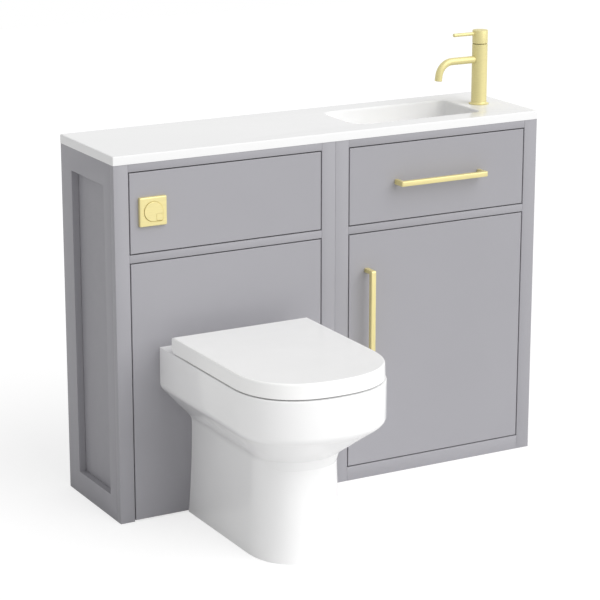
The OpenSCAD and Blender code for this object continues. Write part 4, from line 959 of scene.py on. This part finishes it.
class BATHUNIT_OT_toilet(bpy.types.Operator):
    """Casts the toilet: foot, flare, rim, bowl, water trap and the open back"""
    bl_idname = "bathunit.toilet"
    bl_label = "Toilet"

    def execute(self, context):
        sizes = context.scene.bath_sizes
        edge, crease = sizes.rim_edge / MM, sizes.crease / MM
        low, high, band_z = WAIST - crease, WAIST + crease, RIM - BAND
        heights = [lerp(a, b, i / steps) for a, b, steps in
                   ((0, low, 14), (low, high, 16), (high, band_z, 26)) for i in range(steps)]
        outside = [pan_section(z, crease) for z in heights + [band_z]]
        rim = [d_section(PAN_HALF - inset, 0, -PAN_STRAIGHT, -PAN_REACH + inset, RIM - rise)
               for inset, rise in quarter_round(edge, 5)]
        lip = between(egg_section(BOWL_HALF + BOWL_LIP, BOWL_REAR + BOWL_LIP, BOWL_CENTRE,
                                  BOWL_NOSE - BOWL_LIP, RIM), bowl_section(0), bowl_section(0.03), 4)
        bowl = [bowl_section(u) for u in sines(3, 90, 26)]
        pan = shaped("toilet_pan", loft, outside + rim + lip + bowl)
        cut(pan, block, at_pan(-FOOT_ROOM_HALF, ROOM_FRONT, -2),
            at_pan(FOOT_ROOM_HALF, 2, ROOM_FLOOR + 1))
        cut(pan, block, at_pan(-ROOM_HALF, ROOM_FRONT + 0.3, ROOM_FLOOR),
            at_pan(ROOM_HALF, 2, ROOM_CEILING))
        mouth_z = SUMP_Z + TRAP_R + 2
        y = ROOM_FRONT - TRAP_R - 16
        way = [at_pan(0, SUMP_CENTRE, mouth_z), at_pan(0, y, mouth_z), at_pan(0, y, SOIL_Z),
               at_pan(0, ROOM_FRONT + 2, SOIL_Z)]
        cut(pan, tube, bend(way, TRAP_BEND * MM, 8), TRAP_R * MM, Vector((1, 0, 0)))
        bores = [(at_pan(0, -200, INLET_Z), at_pan(0, ROOM_FRONT + 1, INLET_Z), FLUSH_WAY_R * MM)]
        bores += [(at_pan(x, HINGE_Y, ROOM_CEILING - 1), at_pan(x, HINGE_Y, RIM + 1), BOLT_HOLE_R * MM)
                  for x in (-HINGE_SPAN / 2, HINGE_SPAN / 2)]
        cut(pan, rods, bores)
        for outer, inner, end, z in SPIGOTS:
            join(pan, loft, [circle(at_pan(0, y, z), radius * MM, 48, "y") for y, radius in
                             ((ROOM_FRONT - 1, outer), (end, outer), (end, inner),
                              (ROOM_FRONT - 1, inner))], ends="joined")
        finish_piece(pan, "unit", "ware", ["pan"], crisp=50)
        return {"FINISHED"}


# ---------- seat and lid ----------
LID_HALF = 170.5
LID_REACH = 504
LID_BACK = -57
LID_T = 5
LID_DRAFT = 1
LID_TOP = RIM + 37
LID_LOW = RIM + 3
LID_CEILING = LID_TOP - LID_T - 1
SEAT_BASE = RIM + 4
SEAT_TOP = RIM + 24
SEAT_GAP = 3.5          # room between the seat and the lid's skirt
HOLE_HALF = 108
HOLE_REAR = -165
HOLE_CENTRE = -300
HOLE_NOSE = -418
SWING_R = 15            # room that the lid's back edge leaves round the hinge's axis
EAR_W = 14
EAR_R = 12
PIN_BORE_R = 4.05
POST_W = 20


def lid_section(inset, z):
    """The lid's outline at a height, made smaller all round."""
    return d_section(LID_HALF - inset, LID_BACK - inset, -PAN_STRAIGHT, -(LID_REACH - inset), z)


def on_hinge(x):
    """A point on the axis of the seat and the lid."""
    return at_pan(x, HINGE_Y, HINGE_Z)


def add_ears(piece, side, arm_low, arm_high):
    """Joins hinge ears with their arms beside the posts and bores them; side -1 is further in."""
    for s in (-1, 1):
        x = s * (HINGE_SPAN / 2 + side * (POST_W / 2 + 0.4 + EAR_W / 2))
        low, high = x - EAR_W / 2, x + EAR_W / 2
        join(piece, rod, on_hinge(low), on_hinge(high), EAR_R * MM, 40)
        join(piece, block, at_pan(low, *arm_low), at_pan(high, *arm_high))
        cut(piece, rod, on_hinge(low - 5), on_hinge(high + 5), PIN_BORE_R * MM)


class BATHUNIT_OT_seat(bpy.types.Operator):
    """Moulds the seat ring and the lid over it"""
    bl_idname = "bathunit.seat"
    bl_label = "Seat and lid"

    def execute(self, context):
        edge = context.scene.bath_sizes.lid_edge / MM

        def outer(inset, z):
            gap = LID_T + SEAT_GAP + inset
            return d_section(LID_HALF - gap, HINGE_Y - 14 - inset, -PAN_STRAIGHT, -(LID_REACH - gap), z)

        def hole(grow, z):
            return egg_section(HOLE_HALF + grow, HOLE_REAR + grow, HOLE_CENTRE, HOLE_NOSE - grow, z)

        rounded = between(outer(0, SEAT_TOP - 5), outer(0, SEAT_TOP), outer(5, SEAT_TOP), 5)
        slope = between(hole(12, SEAT_TOP), hole(0, SEAT_TOP), hole(0, SEAT_TOP - 8), 7)
        inner = [hole(0, SEAT_BASE + 1), hole(1, SEAT_BASE)]
        foot = [outer(1, SEAT_BASE), outer(0, SEAT_BASE + 1)]
        seat = shaped("seat_ring", loft, foot + rounded + slope + inner, ends="joined")
        add_ears(seat, -1, (HINGE_Y - 20, SEAT_BASE + 1), (HINGE_Y, SEAT_TOP - 3))
        finish_piece(seat, "seat", "seat_plastic", ["seat"], crisp=50)

        shoulder = [lid_section(LID_DRAFT + inset, LID_TOP - rise)
                    for inset, rise in quarter_round(edge, 7)]
        skirt = [lid_section(inset, z) for inset, z in
                 ((LID_T + LID_DRAFT, LID_CEILING), (LID_T, LID_LOW + 1), (LID_T - 1, LID_LOW),
                  (0.4, LID_LOW), (0.02, LID_LOW + 0.4))]
        lid = shaped("seat_lid", loft, skirt + shoulder)
        cut(lid, block, at_pan(9 - LID_HALF, HINGE_Y - 25, RIM), at_pan(LID_HALF - 9, 10, LID_CEILING))
        corner = shaped("corner", block, at_pan(-LID_HALF - 5, HINGE_Y, RIM - 1),
                        at_pan(LID_HALF + 5, 0, HINGE_Z))
        cut(corner, rod, on_hinge(-LID_HALF - 10), on_hinge(LID_HALF + 10), SWING_R * MM, 64)
        combine(lid, corner, "DIFFERENCE")
        add_ears(lid, 1, (HINGE_Y - 12, HINGE_Z), (HINGE_Y + 12, LID_CEILING + 1))
        finish_piece(lid, "lid", "seat_plastic", ["lid"], crisp=50)
        even = lid.modifiers.new("even_shading", "WEIGHTED_NORMAL")
        even.keep_sharp = True
        return {"FINISHED"}


# ---------- stage ----------
FLOOR_HALF = 7          # metres
FLOOR_GLOW = 0.68
KEY_FROM = Vector((0.42, -0.69, 0.60))
CAMERA_PLACE = Vector((-2.4987, -4.243, 1.8455))


class BATHUNIT_OT_stage(bpy.types.Operator):
    """Sets the floor, the light and the camera"""
    bl_idname = "bathunit.stage"
    bl_label = "Studio"

    def execute(self, context):
        studio = context.scene.bath_studio
        scene = context.scene
        scene.view_settings.view_transform = "Standard"
        floor = shaped("floor", bmesh.ops.create_grid, x_segments=1, y_segments=1, size=FLOOR_HALF)
        floor.data.materials.append(self.floor_paint(context.scene.bath_finishes.floor))
        floor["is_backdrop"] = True
        self.light(scene, studio)
        self.aim(scene, studio)
        return {"FINISHED"}

    def floor_paint(self, shade):
        """A matt pale floor that reads white to the camera and keeps the object's shadow."""
        made = bpy.data.materials.new("pale_floor")
        made.use_nodes = True
        tree = made.node_tree
        tree.nodes.clear()
        paint = add(tree, "ShaderNodeBsdfDiffuse", {"Color": (*shade, 1)})
        seen = add(tree, "ShaderNodeBsdfDiffuse", {"Color": (0.4, 0.4, 0.4, 1)})
        glow = add(tree, "ShaderNodeEmission", {"Color": (1, 1, 1, 1), "Strength": FLOOR_GLOW})
        bright = add(tree, "ShaderNodeAddShader", {0: seen.outputs[0], 1: glow.outputs[0]})
        path = add(tree, "ShaderNodeLightPath", {})
        mixed = add(tree, "ShaderNodeMixShader", {0: path.outputs["Is Camera Ray"], 1: paint.outputs[0],
                                                  2: bright.outputs[0]})
        add(tree, "ShaderNodeOutputMaterial", {"Surface": mixed.outputs[0]})
        return made

    def light(self, scene, studio):
        """White all round, weaker as light than as seen, and one key lamp."""
        world = bpy.data.worlds.new("studio")
        scene.world = world
        world.use_nodes = True
        tree = world.node_tree
        tree.nodes.clear()
        path = add(tree, "ShaderNodeLightPath", {})
        seen = path.outputs["Is Camera Ray"]
        for ray in ("Is Glossy Ray", "Is Transmission Ray"):
            seen = add(tree, "ShaderNodeMath", {0: seen, 1: path.outputs[ray]},
                       operation="MAXIMUM").outputs[0]
        strength = add(tree, "ShaderNodeMapRange", {"Value": seen, "To Min": studio.fill, "To Max": 1.0})
        back = add(tree, "ShaderNodeBackground", {"Color": (1, 1, 1, 1),
                                                  "Strength": strength.outputs[0]})
        add(tree, "ShaderNodeOutputWorld", {"Surface": back.outputs[0]})
        lamp = bpy.data.lights.new("key", "SUN")
        lamp.energy = studio.key * math.pi
        lamp.angle = studio.key_size
        key = bpy.data.objects.new("key", lamp)
        key.rotation_euler = KEY_FROM.to_track_quat("Z", "Y").to_euler()
        scene.collection.objects.link(key)

    def aim(self, scene, studio):
        """The photo's camera, without its lens shift."""
        camera = bpy.data.objects.new("camera", bpy.data.cameras.new("camera"))
        camera.data.lens = studio.lens
        camera.data.sensor_width = 36
        camera.data.clip_end = 100
        yaw, pitch = studio.yaw, studio.pitch
        ahead = Vector((math.sin(yaw) * math.cos(pitch), math.cos(yaw) * math.cos(pitch),
                        -math.sin(pitch)))
        right = Vector((math.cos(yaw), -math.sin(yaw), 0))
        turn = Matrix((right, right.cross(ahead), -ahead)).transposed().to_4x4()
        camera.matrix_world = Matrix.Translation(CAMERA_PLACE) @ turn
        scene.collection.objects.link(camera)
        scene.camera = camera


OPERATORS = (
    BATHUNIT_OT_finishes, BATHUNIT_OT_cabinet_frames, BATHUNIT_OT_worktop, BATHUNIT_OT_plug,
    BATHUNIT_OT_tap, BATHUNIT_OT_handles, BATHUNIT_OT_flush_plate, BATHUNIT_OT_toilet,
    BATHUNIT_OT_seat, BATHUNIT_OT_stage,
)


class BATHUNIT_PT_steps(bpy.types.Panel):
    """Lists the steps that make the unit"""
    bl_idname = "BATHUNIT_PT_steps"
    bl_label = "Bath unit"
    bl_space_type = "VIEW_3D"
    bl_region_type = "UI"
    bl_category = "Bath unit"

    def draw(self, context):
        for group in (context.scene.bath_finishes, context.scene.bath_sizes, context.scene.bath_studio):
            for name in group.bl_rna.properties.keys():
                if name not in ("name", "rna_type"):
                    self.layout.prop(group, name)
        for operator in OPERATORS:
            self.layout.operator(operator.bl_idname)


CLASSES = (BathUnitFinishes, BathUnitSizes, BathUnitStudio, *OPERATORS, BATHUNIT_PT_steps)


def register():
    for each in CLASSES:
        bpy.utils.register_class(each)
    bpy.types.Scene.bath_finishes = PointerProperty(type=BathUnitFinishes)
    bpy.types.Scene.bath_sizes = PointerProperty(type=BathUnitSizes)
    bpy.types.Scene.bath_studio = PointerProperty(type=BathUnitStudio)


def unregister():
    del bpy.types.Scene.bath_finishes, bpy.types.Scene.bath_sizes, bpy.types.Scene.bath_studio
    for each in reversed(CLASSES):
        bpy.utils.unregister_class(each)


def corners():
    return [list(corner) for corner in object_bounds()]


def main():
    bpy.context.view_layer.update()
    register()
    for operator in OPERATORS:
        group, name = operator.bl_idname.split(".")
        getattr(getattr(bpy.ops, group), name)()


if __name__ == "__main__":
    main()
